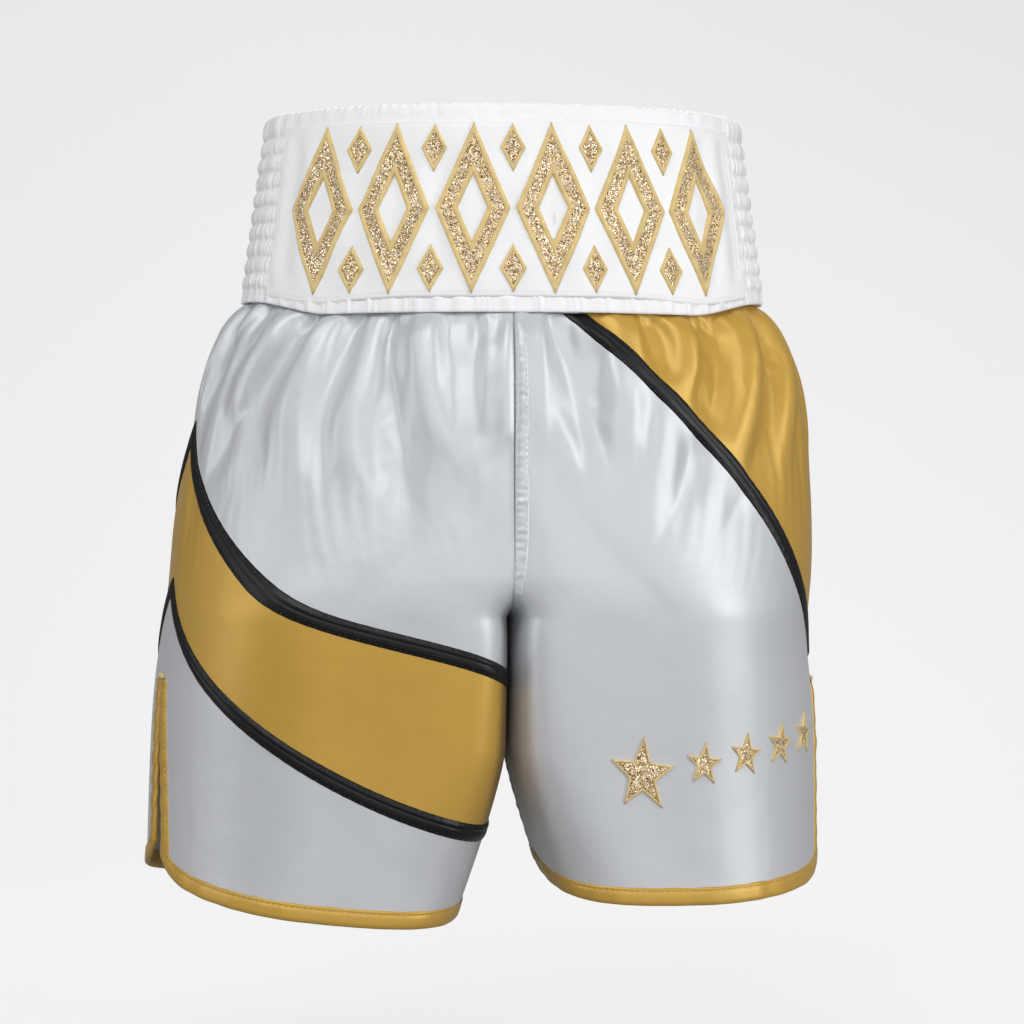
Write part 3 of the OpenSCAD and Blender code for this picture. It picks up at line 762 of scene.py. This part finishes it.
def satin(name, light, shade, roughness, metallic=0.0, sheen=0.25, tint=(1, 1, 1), gloss=0.9):
    """Glossy woven satin: a fine weave, small soft creases and slow changes of tone."""

    def build(tree, nodes, skin):
        slow = noise(tree, nodes, 14.0)
        colour = blend_colours(tree, nodes, slow.outputs["Fac"], light, shade)
        link(tree, colour, skin.inputs["Base Color"])
        put(skin, Roughness=roughness, Metallic=metallic, Sheen_Weight=sheen, Sheen_Roughness=0.4,
            Specular_IOR_Level=gloss, Specular_Tint=(*tint, 1))
        creases = noise(tree, nodes, 38.0, 2.0)
        weave = noise(tree, nodes, 2300.0, 1.0)
        soft = bump(tree, nodes, creases.outputs["Fac"], 0.3, 0.002)
        fine = bump(tree, nodes, weave.outputs["Fac"], 0.35, 0.0003, soft)
        link(tree, fine.outputs["Normal"], skin.inputs["Normal"])

    return material(name, build)


def glitter(name):
    """Coarse glitter cloth: flecks of several golds, each tilted its own way, with painted glints (the
    cream and pink flecks) and painted shade (the darkest brown flecks).
    """

    def build(tree, nodes, skin):
        where = nodes.new("ShaderNodeTexCoord")
        cells = nodes.new("ShaderNodeTexVoronoi")
        put(cells, Scale=1900.0)
        link(tree, where.outputs["Object"], cells.inputs["Vector"])
        split = nodes.new("ShaderNodeSeparateColor")
        link(tree, cells.outputs["Color"], split.inputs["Color"])
        ramp = nodes.new("ShaderNodeValToRGB")
        ramp.color_ramp.interpolation = "CONSTANT"
        # Fleck colours: the golds are the cloth's own; cream and pink are painted glints, and the darkest
        # brown is painted shade on flecks turned away from the light.
        fleck_golds_and_painted_glints = [(0.0, (0.10, 0.055, 0.02)), (0.14, (0.36, 0.22, 0.08)), (0.32, (0.64, 0.44, 0.18)),
                 (0.54, (0.88, 0.70, 0.40)), (0.74, (1.0, 0.93, 0.78)), (0.92, (0.95, 0.66, 0.52))]
        elements = ramp.color_ramp.elements
        while len(elements) < len(fleck_golds_and_painted_glints):
            elements.new(0.5)
        for element, (place, colour) in zip(elements, fleck_golds_and_painted_glints):
            element.position = place
            element.color = (*colour, 1)
        link(tree, split.outputs["Red"], ramp.inputs["Fac"])
        link(tree, ramp.outputs["Color"], skin.inputs["Base Color"])
        put(skin, Metallic=0.5, Roughness=0.3)
        geometry = nodes.new("ShaderNodeNewGeometry")
        centred = vector_math(tree, nodes, "SUBTRACT", cells.outputs["Color"], (0.5, 0.5, 0.5))
        tilt = vector_math(tree, nodes, "SCALE", centred, 1.1)
        tilted = vector_math(tree, nodes, "ADD", geometry.outputs["Normal"], tilt)
        link(tree, vector_math(tree, nodes, "NORMALIZE", tilted), skin.inputs["Normal"])

    return material(name, build)


def thread(name, colour, pitch=0.7, depth=0.0003):
    """Satin-stitched thread: fine ridges across the direction of the stitching."""

    def build(tree, nodes, skin):
        where = nodes.new("ShaderNodeUVMap")
        where.uv_map = "along_across"
        waves = nodes.new("ShaderNodeTexWave")
        put(waves, Scale=1 / pitch / 3.2, Distortion=0.6)
        link(tree, where.outputs["UV"], waves.inputs["Vector"])
        slow = noise(tree, nodes, 160.0)
        dark = [c * 0.72 for c in colour]
        bright = [min(1.0, c * 1.18) for c in colour]
        link(tree, blend_colours(tree, nodes, slow.outputs["Fac"], dark, bright), skin.inputs["Base Color"])
        put(skin, Roughness=0.42, Sheen_Weight=0.3)
        ridges = bump(tree, nodes, waves.outputs["Fac"], 0.6, depth)
        link(tree, ridges.outputs["Normal"], skin.inputs["Normal"])

    return material(name, build)


def matt(name, colour, roughness, scale, depth):
    """Plain woven or moulded stuff with a fine grain."""

    def build(tree, nodes, skin):
        put(skin, Base_Color=(*colour, 1), Roughness=roughness)
        grain = noise(tree, nodes, scale, 2.0)
        raised = bump(tree, nodes, grain.outputs["Fac"], 0.4, depth)
        link(tree, raised.outputs["Normal"], skin.inputs["Normal"])

    return material(name, build)


WHITE = satin("white_satin", (0.60, 0.615, 0.64), (0.54, 0.558, 0.585), 0.40, 0.2, 0.2)
BAND_WHITE = satin("white_band_satin", (0.88, 0.885, 0.9), (0.82, 0.83, 0.85), 0.5, 0.0, 0.25, gloss=0.6)
GOLD = satin("gold_satin", (0.60, 0.365, 0.065), (0.51, 0.30, 0.042), 0.40, 0.22, 0.1, (1.0, 0.9, 0.65))
BLACK = satin("black_satin", (0.006, 0.006, 0.007), (0.003, 0.003, 0.004), 0.33, 0.0, 0.0, gloss=0.3)
LINING = satin("white_lining", (0.74, 0.75, 0.78), (0.68, 0.69, 0.73), 0.5)
GLITTER = glitter("gold_glitter")
GOLD_THREAD = thread("gold_thread", (0.86, 0.64, 0.27))
WHITE_THREAD = thread("white_thread", (0.78, 0.79, 0.82))
BLACK_THREAD = thread("black_thread", (0.012, 0.012, 0.013))
ELASTIC = matt("white_elastic", (0.8, 0.8, 0.8), 0.7, 900.0, 0.0004)
STIFFENER = matt("white_interfacing", (0.75, 0.75, 0.75), 0.9, 700.0, 0.0003)
CORD = matt("white_cord", (0.82, 0.82, 0.83), 0.75, 800.0, 0.0006)
SLEEVE = matt("clear_sleeve", (0.6, 0.61, 0.63), 0.2, 300.0, 0.0001)


# A look has the name of its slot in the CAD, apart from these.
SLOTS = {"white_band_satin": "white_satin", "white_thread": "white_satin", "black_thread": "black_satin"}


def slot_of(look):
    """A look's slot. Blender adds .001 to a look's name where the frame's own material has it."""
    name = look.name.split(".")[0]
    return SLOTS.get(name, name)


# ---------- hanging pieces on their bodies ----------

LEG_BODY = ("left_leg", "right_leg")
LEG_WORD = ("left", "right")


def hang(solid, name, look, body, *nodes):
    """Makes a piece in place of some CAD nodes. A waist piece rides its body; a leg piece is left
    unparented, with its place baked into the mesh.
    """
    piece = solid.piece(name, look)
    if nodes:
        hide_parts(*nodes)
    slot_of(look)
    if body not in LEG_BODY:
        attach(piece, body)
        return
    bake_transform(piece)


# ---------- waistband ----------

def side_share_of_band(angle):
    """1 on the shirred sides, 0 under the flat overlays."""
    from_overlay = np.abs(np.degrees(np.arcsin(np.clip(np.sin(angle), -1, 1))))
    return smooth((from_overlay - OVERLAY_ANGLE + 1.5) / 4)


BAND_ROUND = 140.0                         # length along the band for one radian, about
GATHER_PITCH = 6.1                         # of the fine gathers at the band's free edges


def shirring(angle, drop):
    """How far the gathered shell stands out: puffs between the elastic rows, crossed by gathers."""
    along = angle * BAND_ROUND
    place = np.where(drop < FIRST_ROW + ROW_H, drop / (FIRST_ROW + ROW_H), (drop - FIRST_ROW) / ROW_H)
    row = np.floor(place)
    puff = np.abs(np.sin(math.pi * (place - row))) ** 0.5
    wander = 0.7 * ripple(along / 15, 6) + 0.35 * ripple(along / 9 + row * 2.1, 5)
    lean = 0.5 * ripple(along / 17 + row * 5.3, 3) * (place - row - 0.5)
    small = np.abs(np.sin(math.pi * (along / 5.2 + wander + lean))) ** 0.6
    broad = 0.5 + 0.5 * ripple(along / 11 + row * 1.7, 7)
    height = puff * (0.3 + 1.7 * small + 0.5 * broad)
    return height * mix(0.12, 1.0, side_share_of_band(angle)) + 0.15


def shell_out(angle, drop):
    """The whole shell, with fine gathers at its free edges all the way round."""
    along = angle * BAND_ROUND
    fine = np.abs(np.sin(math.pi * (along / GATHER_PITCH + 1.1 * ripple(along / 13, 8))))
    fine = fine * (0.55 + 0.45 * ripple(along / 9, 4))
    slant = 0.02 * (drop - OVERLAY_BOTTOM) * ripple(along / 21, 12)
    fine = fine * (0.8 + 0.4 * np.abs(np.sin(math.pi * (along / 9.7 + slant))))
    low_edge = smooth((drop - OVERLAY_BOTTOM + 3) / 3)
    top_edge = smooth((OVERLAY_TOP - drop) / 5)
    return shirring(angle, drop) * (1 - low_edge) + low_edge * (0.1 + 1.5 * fine) + top_edge * 0.5 * fine


def waistband():
    angles = np.linspace(0, 2 * math.pi, 921)[:-1][:, None]
    middle = np.linspace(1.7, BAND_H - 1.2, 96)
    down = np.concatenate([[0.0, 0.35, 0.9], middle, [BAND_H - 0.4, BAND_H]])[None, :]
    rounding = np.concatenate([[-2.2, -0.9, -0.2], 0 * middle, [-0.3, -1.0]])[None, :]
    scallop = 0.9 * np.abs(np.sin(angles * BAND_ROUND / GATHER_PITCH * math.pi)) * (down < 1)
    outer = band_point(angles, down - scallop, shell_out(angles, down) + rounding)
    inner_down = np.array([BAND_H - 0.6, BAND_H - 3, 4.0, 0.8])[None, :]
    inner = band_point(angles, inner_down, np.array([-1.9, -1.2, -1.2, -3.2])[None, :] + 0 * angles)
    solid = Solid()
    solid.tube(np.concatenate([outer, inner], axis=1), closed=True)
    hang(solid, "waistband_shell_cloth", BAND_WHITE, "waist", "waistband_shell")

    lining = Solid()
    down = np.linspace(0.4, BAND_H - 0.5, 52)[None, :]
    between_rows = np.abs(np.sin(math.pi * (down - FIRST_ROW) / ROW_H))
    pucker = 0.9 * between_rows * (0.5 + 0.5 * ripple(angles * 30, 9))
    edge = 1.2 * smooth((3 - down) / 3)
    front = band_point(angles, down, edge - 4.5)
    back = band_point(angles, down, edge - 5.7 - pucker)
    lining.tube(np.concatenate([front, back[:, ::-1]], axis=1), closed=True)
    hang(lining, "waistband_facing_cloth", LINING, "waist", "waistband_facing")


def overlay_surface(angle, drop, face):
    """The flat overlay with a few soft upright creases."""
    along = angle * 150.0 + (0 if face == BACK else 900)
    creases = 0.7 * ripple(along / 16, 21) * smooth((drop - OVERLAY_TOP) / 18)
    creases = creases * smooth((OVERLAY_BOTTOM - drop) / 18)
    return OVERLAY_OUT + creases + 0.25 * ripple(drop / 20 + along / 60, 22)


def overlay_bottom(from_middle):
    """The drop of an overlay's lower edge, which dips towards its ends."""
    return OVERLAY_BOTTOM + 5.0 * smooth((np.degrees(from_middle) - 20) / 44)


def overlay(name, face):
    mid = 0 if face == BACK else math.pi
    reach = math.radians(OVERLAY_ANGLE)
    angles = mid + np.linspace(-reach, reach, 320)[:, None]
    bottom = overlay_bottom(np.abs(angles - mid))
    down = mix(OVERLAY_TOP, bottom, np.linspace(0, 1, 120)[None, :])
    to_edge = np.minimum(np.minimum(down - OVERLAY_TOP, bottom - down),
                         (reach - np.abs(angles - mid)) * 110.0)
    edge = -1.6 * (1 - smooth(to_edge / 1.6)) - 0.45 * np.exp(-((to_edge - 3.0) / 0.5) ** 2)
    out = overlay_surface(angles, down, face) + edge
    solid = Solid()
    solid.sheet(band_point(angles, down, out), band_point(angles, down, 0.35), flip=True)
    hang(solid, name + "_cloth", BAND_WHITE, "waist", name)


# Angle round the waistband for a distance along it from the middle of an overlay.
patch_drop = (OVERLAY_TOP + OVERLAY_BOTTOM) / 2
patch_flare = BAND_FLARE * (1 - patch_drop / BAND_H)
arc_angles = np.radians(np.linspace(0, 80, 400))
arc_speed = np.hypot((BAND_W - patch_flare) * np.cos(arc_angles),
                     (BAND_D - FLARE_DEPTH * patch_flare) * np.sin(arc_angles))
arc_lengths = np.concatenate([[0], np.cumsum((arc_speed[1:] + arc_speed[:-1]) / 2 * np.diff(arc_angles))])


def on_overlay(face, x, z, lift):
    """A point x along an overlay and z up from the middle of its patches, lifted off it."""
    angle = np.sign(x) * np.interp(np.abs(x), arc_lengths, arc_angles) + (0 if face == BACK else math.pi)
    return band_point(angle, patch_drop - z, overlay_surface(angle, patch_drop - z, face) + lift)


def diamond(size, inset, n):
    """A diamond's outline, inset inside one of the given half-width and half-height."""
    w = size[0] - inset * math.hypot(*size) / size[1]
    h = w * size[1] / size[0]
    tips = np.array([[w, 0], [0, h], [-w, 0], [0, -h]])
    t = np.arange(n)[:, None] / n
    return np.concatenate([mix(tips[k], tips[(k + 1) % 4], t) for k in range(4)])


def star(size, inset, n):
    """A five-pointed star's outline, inset from the given point radius."""
    r = size - inset * 2.1
    turn = np.radians(36.0 * np.arange(10) + 6)
    radius = np.where(np.arange(10) % 2 == 0, r, r * STAR_WAIST)
    tips = np.stack([radius * np.sin(turn), radius * np.cos(turn)], -1)
    t = np.arange(n)[:, None] / n
    return np.concatenate([mix(tips[k], tips[(k + 1) % 10], t) for k in range(10)])


def ring(solid, place, outline, near, far, height, n, rounded):
    """A raised ring between two insets of an outline, rounded like stitching or flat like cloth."""
    across = np.linspace(0, 1, 9)
    loops = [outline(mix(near, far, a), n) for a in across]
    bulge = np.sqrt(np.maximum(0, 1 - (2 * across - 1) ** 2)) if rounded else np.ones(9)
    top = [place(q[:, 0], q[:, 1], height * b + 0.1) for q, b in zip(loops, bulge)]
    low = [place(q[:, 0], q[:, 1], -0.3) for q in (loops[-1], loops[0])]
    solid.tube(np.stack(top + low, axis=1), closed=True)


def plate(solid, place, outline, inset, height, n):
    """A raised flat patch inside an inset of an outline."""
    rims = [outline(inset, n) * s for s in (1.0, 0.66, 0.33, 0.02)]
    top = [place(q[:, 0], q[:, 1], height) for q in rims]
    low = [place(q[:, 0], q[:, 1], -0.3) for q in rims[::-1]]
    solid.tube(np.stack(top + low, axis=1), closed=True)


def band_patches(name, face):
    cloth, border = Solid(), Solid()
    for i in np.arange(-2.5, 3):
        def place(x, z, lift, mid=i * PATCH_PITCH):
            return on_overlay(face, mid + x, z, lift)

        def outline(inset, n):
            return diamond(PATCH_SIZE, inset, n)

        ring(cloth, place, outline, BORDER_W * 0.7, STROKE_W - BORDER_W * 0.7, PATCH_T, 14, False)
        ring(border, place, outline, 0, BORDER_W, 1.6, 14, True)
        ring(border, place, outline, STROKE_W - BORDER_W, STROKE_W, 1.6, 14, True)
    for i in range(-2, 3):
        for v in (-1, 1):
            def place(x, z, lift, mid=i * PATCH_PITCH, up=v * SMALL_RISE):
                return on_overlay(face, mid + x, up + z, lift)

            def outline(inset, n):
                return diamond(SMALL_SIZE, inset, n)

            plate(cloth, place, outline, BORDER_W * 0.45, PATCH_T, 5)
            ring(border, place, outline, 0, BORDER_W * 0.7, 1.3, 5, True)
    hang(cloth, name + "_diamond_glitter", GLITTER, "waist", name + "_diamond_patches")
    hang(border, name + "_diamond_stitching", GOLD_THREAD, "waist", name + "_diamond_borders")


# ---------- panels, trims and seams ----------

def body_panels():
    under = 2.0     # how far panels run under the trims
    for word, face in FACES.items():
        def top(p):
            return BAND_H - 0.4 + 0 * p

        def low_trim(i, sign):
            return lambda p: left_line(i, p, sign * (RIBBON_W / 2 - under))

        def hem(leg):
            return lambda p: hem_line(leg, face, p) - under

        made = [
            ("upper", top, low_trim(0, -1), WHITE),
            ("band", low_trim(0, 1), low_trim(1, -1), GOLD),
            ("lower", low_trim(1, 1), hem(LEFT), WHITE),
        ]
        for place, hi, lo, look in made:
            name = "left_" + word + "_" + place + "_panel"
            hang(panel(LEFT, face, hi, lo), name + "_cloth", look, "left_leg", name)

        def right_top(p):
            return np.maximum(BAND_H - 0.4, right_line(p, RIBBON_W / 2 - 1.0))

        def hip_edge(p):
            return np.maximum(right_line(p, 1.0 - RIBBON_W / 2), BAND_H)

        right = "right_" + word
        main = panel(RIGHT, face, right_top, hem(RIGHT), columns=190, rows=250)
        hang(main, right + "_main_panel_cloth", WHITE, "right_leg",
             right + "_upper_panel", right + "_lower_panel")
        hip = panel(RIGHT, face, top, hip_edge, stop=RIGHT_REACH * 0.985)
        hang(hip, right + "_hip_panel_cloth", GOLD, "right_leg", right + "_hip_panel")


def trims():
    for word, face in FACES.items():
        for i, place in enumerate(("upper", "lower")):
            name = "left_" + word + "_" + place + "_ribbon"
            strip = ribbon(LEFT, face, lambda p, out: left_line(i, p, out))
            hang(strip, name + "_cloth", BLACK, "left_leg", name)
        name = "right_" + word + "_ribbon"
        strip = ribbon(RIGHT, face, right_line, stop=RIGHT_REACH + 0.03, top=BAND_H)
        hang(strip, name + "_cloth", BLACK, "right_leg", name)
        for leg in (LEFT, RIGHT):
            name = LEG_WORD[leg] + "_" + word + "_binding"
            hang(binding(leg, face), name + "_cloth", GOLD, LEG_BODY[leg], name)


def seams():
    edge = np.array([0, 0.004, 0.02, 0.05])
    across = np.concatenate([edge, np.linspace(0.1, 0.9, 9), 1 - edge[::-1]])[None, :]
    for word, face in FACES.items():
        t = np.linspace(0, 1, 220)[:, None]
        drop = mix(BAND_H - 0.3, RISE - 9.0, 1 - (1 - t) ** 1.6)
        profile = 0.85 * (1 - np.abs(2 * across - 1) ** 6)
        pucker = 0.4 * ripple(drop / 3.2, 31) * (1 - 0.5 * across) + 0.3 * ripple(drop / 6 + across, 32)
        p = 1 - centre_share(RIGHT, face, drop, SEAM_W * across)
        solid = Solid()
        solid.sheet(garment(RIGHT, face, p, drop, profile * (1 + pucker * 0.6)),
                    garment(RIGHT, face, p, drop, -CLOTH_T - 0.4), flip=not turned(RIGHT, face))
        hang(solid, word + "_centre_seam_cloth", WHITE, "right_leg", word + "_centre_seam")
    for leg in (LEFT, RIGHT):
        low = float(hem_line(leg, BACK, 1.0)) - 1
        drop = np.linspace(RISE + 4, low, 120)[:, None]
        halves = []
        for face in (BACK, FRONT):
            width = across if face == FRONT else across[:, ::-1]
            p = 1 - centre_share(leg, face, drop, SEAM_W / 2 * width)
            bulge = 0.7 * (1 - width ** 6) * (1 + 0.4 * ripple(drop / 4, 33 + leg))
            halves.append((garment(leg, face, p, drop, bulge), garment(leg, face, p, drop, -CLOTH_T - 0.3)))
        solid = Solid()
        solid.sheet(np.concatenate([halves[0][0], halves[1][0][:, 1:]], axis=1),
                    np.concatenate([halves[0][1], halves[1][1][:, 1:]], axis=1), flip=leg == LEFT)
        name = LEG_WORD[leg] + "_inseam"
        hang(solid, name + "_cloth", WHITE, LEG_BODY[leg], name)


def bartacks():
    """A short dense bar of satin stitch across the top of each side vent."""
    t = np.linspace(-1, 1, 33)[:, None]
    turn = np.linspace(0, 2 * math.pi, 9)[:-1][None, :]
    for leg in (LEFT, RIGHT):
        width = 1.9 * (1 - 0.35 * t ** 6)
        drop = vent_top(leg) - 4.0 + width * np.cos(turn)
        out = 0.75 + (1.0 + 0.12 * np.cos(t * 60)) * np.sin(turn) * np.sqrt(1.02 - t ** 2)
        ends = []
        for face, some in ((BACK, t[t[:, 0] < 0]), (FRONT, t[t[:, 0] >= 0])):
            rows = slice(0, len(some)) if face == BACK else slice(len(t) - len(some), len(t))
            p = side_share(leg, face, drop[rows], 7.0 * np.abs(some))
            ends.append(garment(leg, face, p, drop[rows], out[rows]))
        solid = Solid()
        solid.tube(np.concatenate(ends), flip=leg == RIGHT)
        name = LEG_WORD[leg] + "_vent_bartack"
        hang(solid, name + "_stitching", GOLD_THREAD, LEG_BODY[leg], name)


def cord(name, body, look, ending, rounding, wave):
    """A flat cord, or its sleeve, along the axis of the CAD part's box."""
    low, high = (np.array(corner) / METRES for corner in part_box(name))
    t = np.linspace(0, 1, 60)[:, None]
    turn = np.linspace(0, 2 * math.pi, 21)[:-1][None, :]
    middle, half = (low + high) / 2, (high - low) / 2
    lean = half[1] - CORD_HALF_T
    shape = np.sqrt(np.maximum(1 - np.abs(2 * t - 1) ** 24, 0)) * 0.98 + 0.02
    across = np.sign(np.cos(turn)) * np.abs(np.cos(turn)) ** rounding
    deep = np.sign(np.sin(turn)) * np.abs(np.sin(turn)) ** rounding
    x = middle[0] + half[0] * 0.96 * across * shape
    y = middle[1] + lean * (2 * t - 1) + (CORD_HALF_T - wave) * deep * shape + wave * np.sin(t * 19)
    z = mix(high[2], low[2], t) + 0 * turn
    solid = Solid()
    solid.tube(np.stack(np.broadcast_arrays(x, y, z), -1), flip=True)
    hang(solid, name + ending, look, body, name)


def cords():
    for side in LEG_WORD:
        cord(side + "_cord_tail", side + "_cord", CORD, "_woven", 0.7, 0.15)
        cord(side + "_cord_tip", side + "_cord", SLEEVE, "_sleeve", 0.85, 0.0)


def inside_layers():
    """The layers that can't be seen keep their CAD shape and take a finish."""
    looks = {"elastic_strip": ELASTIC, "interfacing": STIFFENER, "drawcord_loop": CORD}
    for part in bpy.data.objects:
        for word, look in looks.items():
            if word in part.name and part.type == "MESH":
                for place in part.material_slots:
                    place.material = look


def overlay_stitches(face):
    """Four rows of stitches just inside the edges of an overlay."""
    mid = 0 if face == BACK else math.pi
    reach = math.radians(OVERLAY_ANGLE) - 0.02
    angles = mid + np.linspace(-reach, reach, 400)
    down = np.linspace(OVERLAY_TOP + 3, OVERLAY_BOTTOM - 1, 150)
    bottom = overlay_bottom(np.abs(angles - mid)) - 3.0
    rows = [(angles, OVERLAY_TOP + 3.0 + 0 * angles), (angles, bottom),
            (mid - reach + 0 * down, down), (mid + reach + 0 * down, down)]
    solid = Solid()
    for angle, drop in rows:
        out = overlay_surface(angle, drop, face) - 0.35
        stitches(solid, band_point(angle, drop, out), band_point(angle, drop, out - 3))
    return solid


def centre_stitches(face):
    drop = np.linspace(BAND_H + 3, RISE - 14, 300)
    solid = Solid()
    for dist in (1.3, SEAM_W - 1.0):
        leg_stitches(solid, RIGHT, face, 1 - centre_share(RIGHT, face, drop, dist), drop, 0.85)
    return solid


def hem_stitches(leg, face):
    back = BINDING_W - HEM_GROOVE
    p = np.linspace(0.03, 0.995, 300)
    drop = np.linspace(vent_top(leg) + 3, float(hem_line(leg, face, 0.0)) - 10, 120)
    solid = Solid()
    leg_stitches(solid, leg, face, p, hem_line(leg, face, p) - back, 0.75)
    leg_stitches(solid, leg, face, side_share(leg, face, drop, back), drop, 0.75)
    return solid


def ribbon_stitches(leg, face):
    p = np.linspace(0.01, 0.99 if leg == LEFT else RIGHT_REACH - 0.03, 400)
    lines = [lambda q, out, i=i: left_line(i, q, out) for i in (0, 1)] if leg == LEFT else [right_line]
    solid = Solid()
    for line in lines:
        for edge in (-0.74, 0.74):
            leg_stitches(solid, leg, face, p, line(p, edge * ribbon_reach(p)), 0.75)
    return solid


def topstitching():
    """Rows of machine stitches along the overlays, the centre seam, the hems and the ribbons."""
    for word, face in FACES.items():
        hang(overlay_stitches(face), word + "_overlay_stitching", WHITE_THREAD, "waist")
        for leg in (LEFT, RIGHT):
            if leg == RIGHT:
                hang(centre_stitches(face), word + "_centre_seam_stitching", WHITE_THREAD, "right_leg")
            name = LEG_WORD[leg] + "_" + word
            hang(hem_stitches(leg, face), name + "_hem_stitching", GOLD_THREAD, LEG_BODY[leg])
            hang(ribbon_stitches(leg, face), name + "_ribbon_stitching", BLACK_THREAD, LEG_BODY[leg])


def leg_stars():
    cloth, border = Solid(), Solid()
    for k, size in enumerate(STAR_SIZES):
        mid_p = STAR_FIRST if k == 0 else STAR_FIRST - STAR_GAP - STAR_STEP * k
        mid_drop = STAR_DROPS[k]

        def place(x, z, lift):
            return garment(RIGHT, BACK, mid_p - side_share(RIGHT, BACK, mid_drop, x), mid_drop - z, lift)

        def outline(inset, n):
            return star(size, inset, n)

        plate(cloth, place, outline, STAR_INSET, PATCH_T, 4)
        ring(border, place, outline, 0, STAR_BORDER, 1.4, 4, True)
    hang(cloth, "leg_star_glitter", GLITTER, "right_leg", "leg_star_patches")
    hang(border, "leg_star_stitching", GOLD_THREAD, "right_leg", "leg_star_borders")


# ---------- stage ----------

CAMERA_FROM = 2.0                          # metres
CAMERA_ASIDE = 0.0058
CAMERA_TURN = math.radians(-3.5)
AIM = Vector((0, 0, -0.25))
FLOOR_Z = -0.62
WALL_AT = 1.6                              # where the floor starts to curve up
WALL_CURVE = 1.2
GLOW = 0.62                                # what the camera sees of the floor's own light
SKY = (0.3, 0.82)                          # how bright the sky is as a light, and to the camera


def pale(tree, nodes, skin):
    put(skin, Base_Color=(0.3, 0.3, 0.3, 1), Roughness=0.9, Emission_Color=(1, 1, 1, 1))
    seen = nodes.new("ShaderNodeLightPath")
    glow = nodes.new("ShaderNodeMath")
    glow.operation = "MULTIPLY"
    glow.inputs[1].default_value = GLOW
    link(tree, seen.outputs["Is Camera Ray"], glow.inputs[0])
    link(tree, glow.outputs["Value"], skin.inputs["Emission Strength"])


def pale_floor():
    """A floor that curves up into a wall behind the shorts."""
    profile = [(-4, 0), (WALL_AT, 0)]
    profile += [(WALL_AT + WALL_CURVE * math.sin(a), WALL_CURVE * (1 - math.cos(a)))
                for a in np.radians(range(10, 91, 10))]
    profile.append((WALL_AT + WALL_CURVE, 5.0))
    points = [(x, y, z + FLOOR_Z) for y, z in profile for x in (-5, 5)]
    faces = [[2 * i, 2 * i + 1, 2 * i + 3, 2 * i + 2] for i in range(len(profile) - 1)]
    add_piece("floor", np.array(points) / METRES, faces, material("pale_floor", pale))


def area(name, place, size, power):
    data = bpy.data.lights.new(name, "AREA")
    data.shape = "RECTANGLE"
    data.size, data.size_y = size
    data.energy = power
    lamp = bpy.data.objects.new(name, data)
    lamp.location = place
    lamp.rotation_euler = (AIM - Vector(place)).to_track_quat("-Z", "Y").to_euler()
    bpy.context.scene.collection.objects.link(lamp)


def stage():
    right = Vector((math.cos(CAMERA_TURN), math.sin(CAMERA_TURN), 0))
    away = Vector((math.sin(CAMERA_TURN), -math.cos(CAMERA_TURN), 0))
    camera_data = bpy.data.cameras.new("camera")
    camera_data.lens = 109.0
    camera = bpy.data.objects.new("camera", camera_data)
    camera.location = AIM + away * CAMERA_FROM + right * CAMERA_ASIDE
    camera.rotation_euler = (math.pi / 2, 0, CAMERA_TURN)
    bpy.context.scene.collection.objects.link(camera)
    bpy.context.scene.camera = camera
    pale_floor()
    area("key", (-0.6, -1.7, 1.3), (1.4, 0.9), 21)
    area("front", (0.3, -2.6, 0.1), (2.0, 1.4), 12)
    area("fill", (1.9, -1.3, 0.2), (0.8, 1.6), 23)
    area("side", (-1.8, -0.6, 0.1), (0.4, 1.2), 6)
    area("back_light", (0.4, 2.0, 1.6), (1.6, 1.0), 32)
    world = bpy.data.worlds.new("studio")
    world.use_nodes = True
    tree = world.node_tree
    put(tree.nodes["Background"], Color=(1, 1, 1, 1))
    seen = tree.nodes.new("ShaderNodeLightPath")
    strength = tree.nodes.new("ShaderNodeMapRange")
    put(strength, To_Min=SKY[0], To_Max=SKY[1])
    link(tree, seen.outputs["Is Camera Ray"], strength.inputs["Value"])
    link(tree, strength.outputs["Result"], tree.nodes["Background"].inputs["Strength"])
    bpy.context.scene.world = world
    bpy.context.scene.view_settings.view_transform = "Standard"


waistband()
overlay("back_overlay_panel", BACK)
overlay("front_overlay_panel", FRONT)
band_patches("back", BACK)
band_patches("front", FRONT)
body_panels()
trims()
seams()
leg_stars()
bartacks()
cords()
inside_layers()
topstitching()
stage()
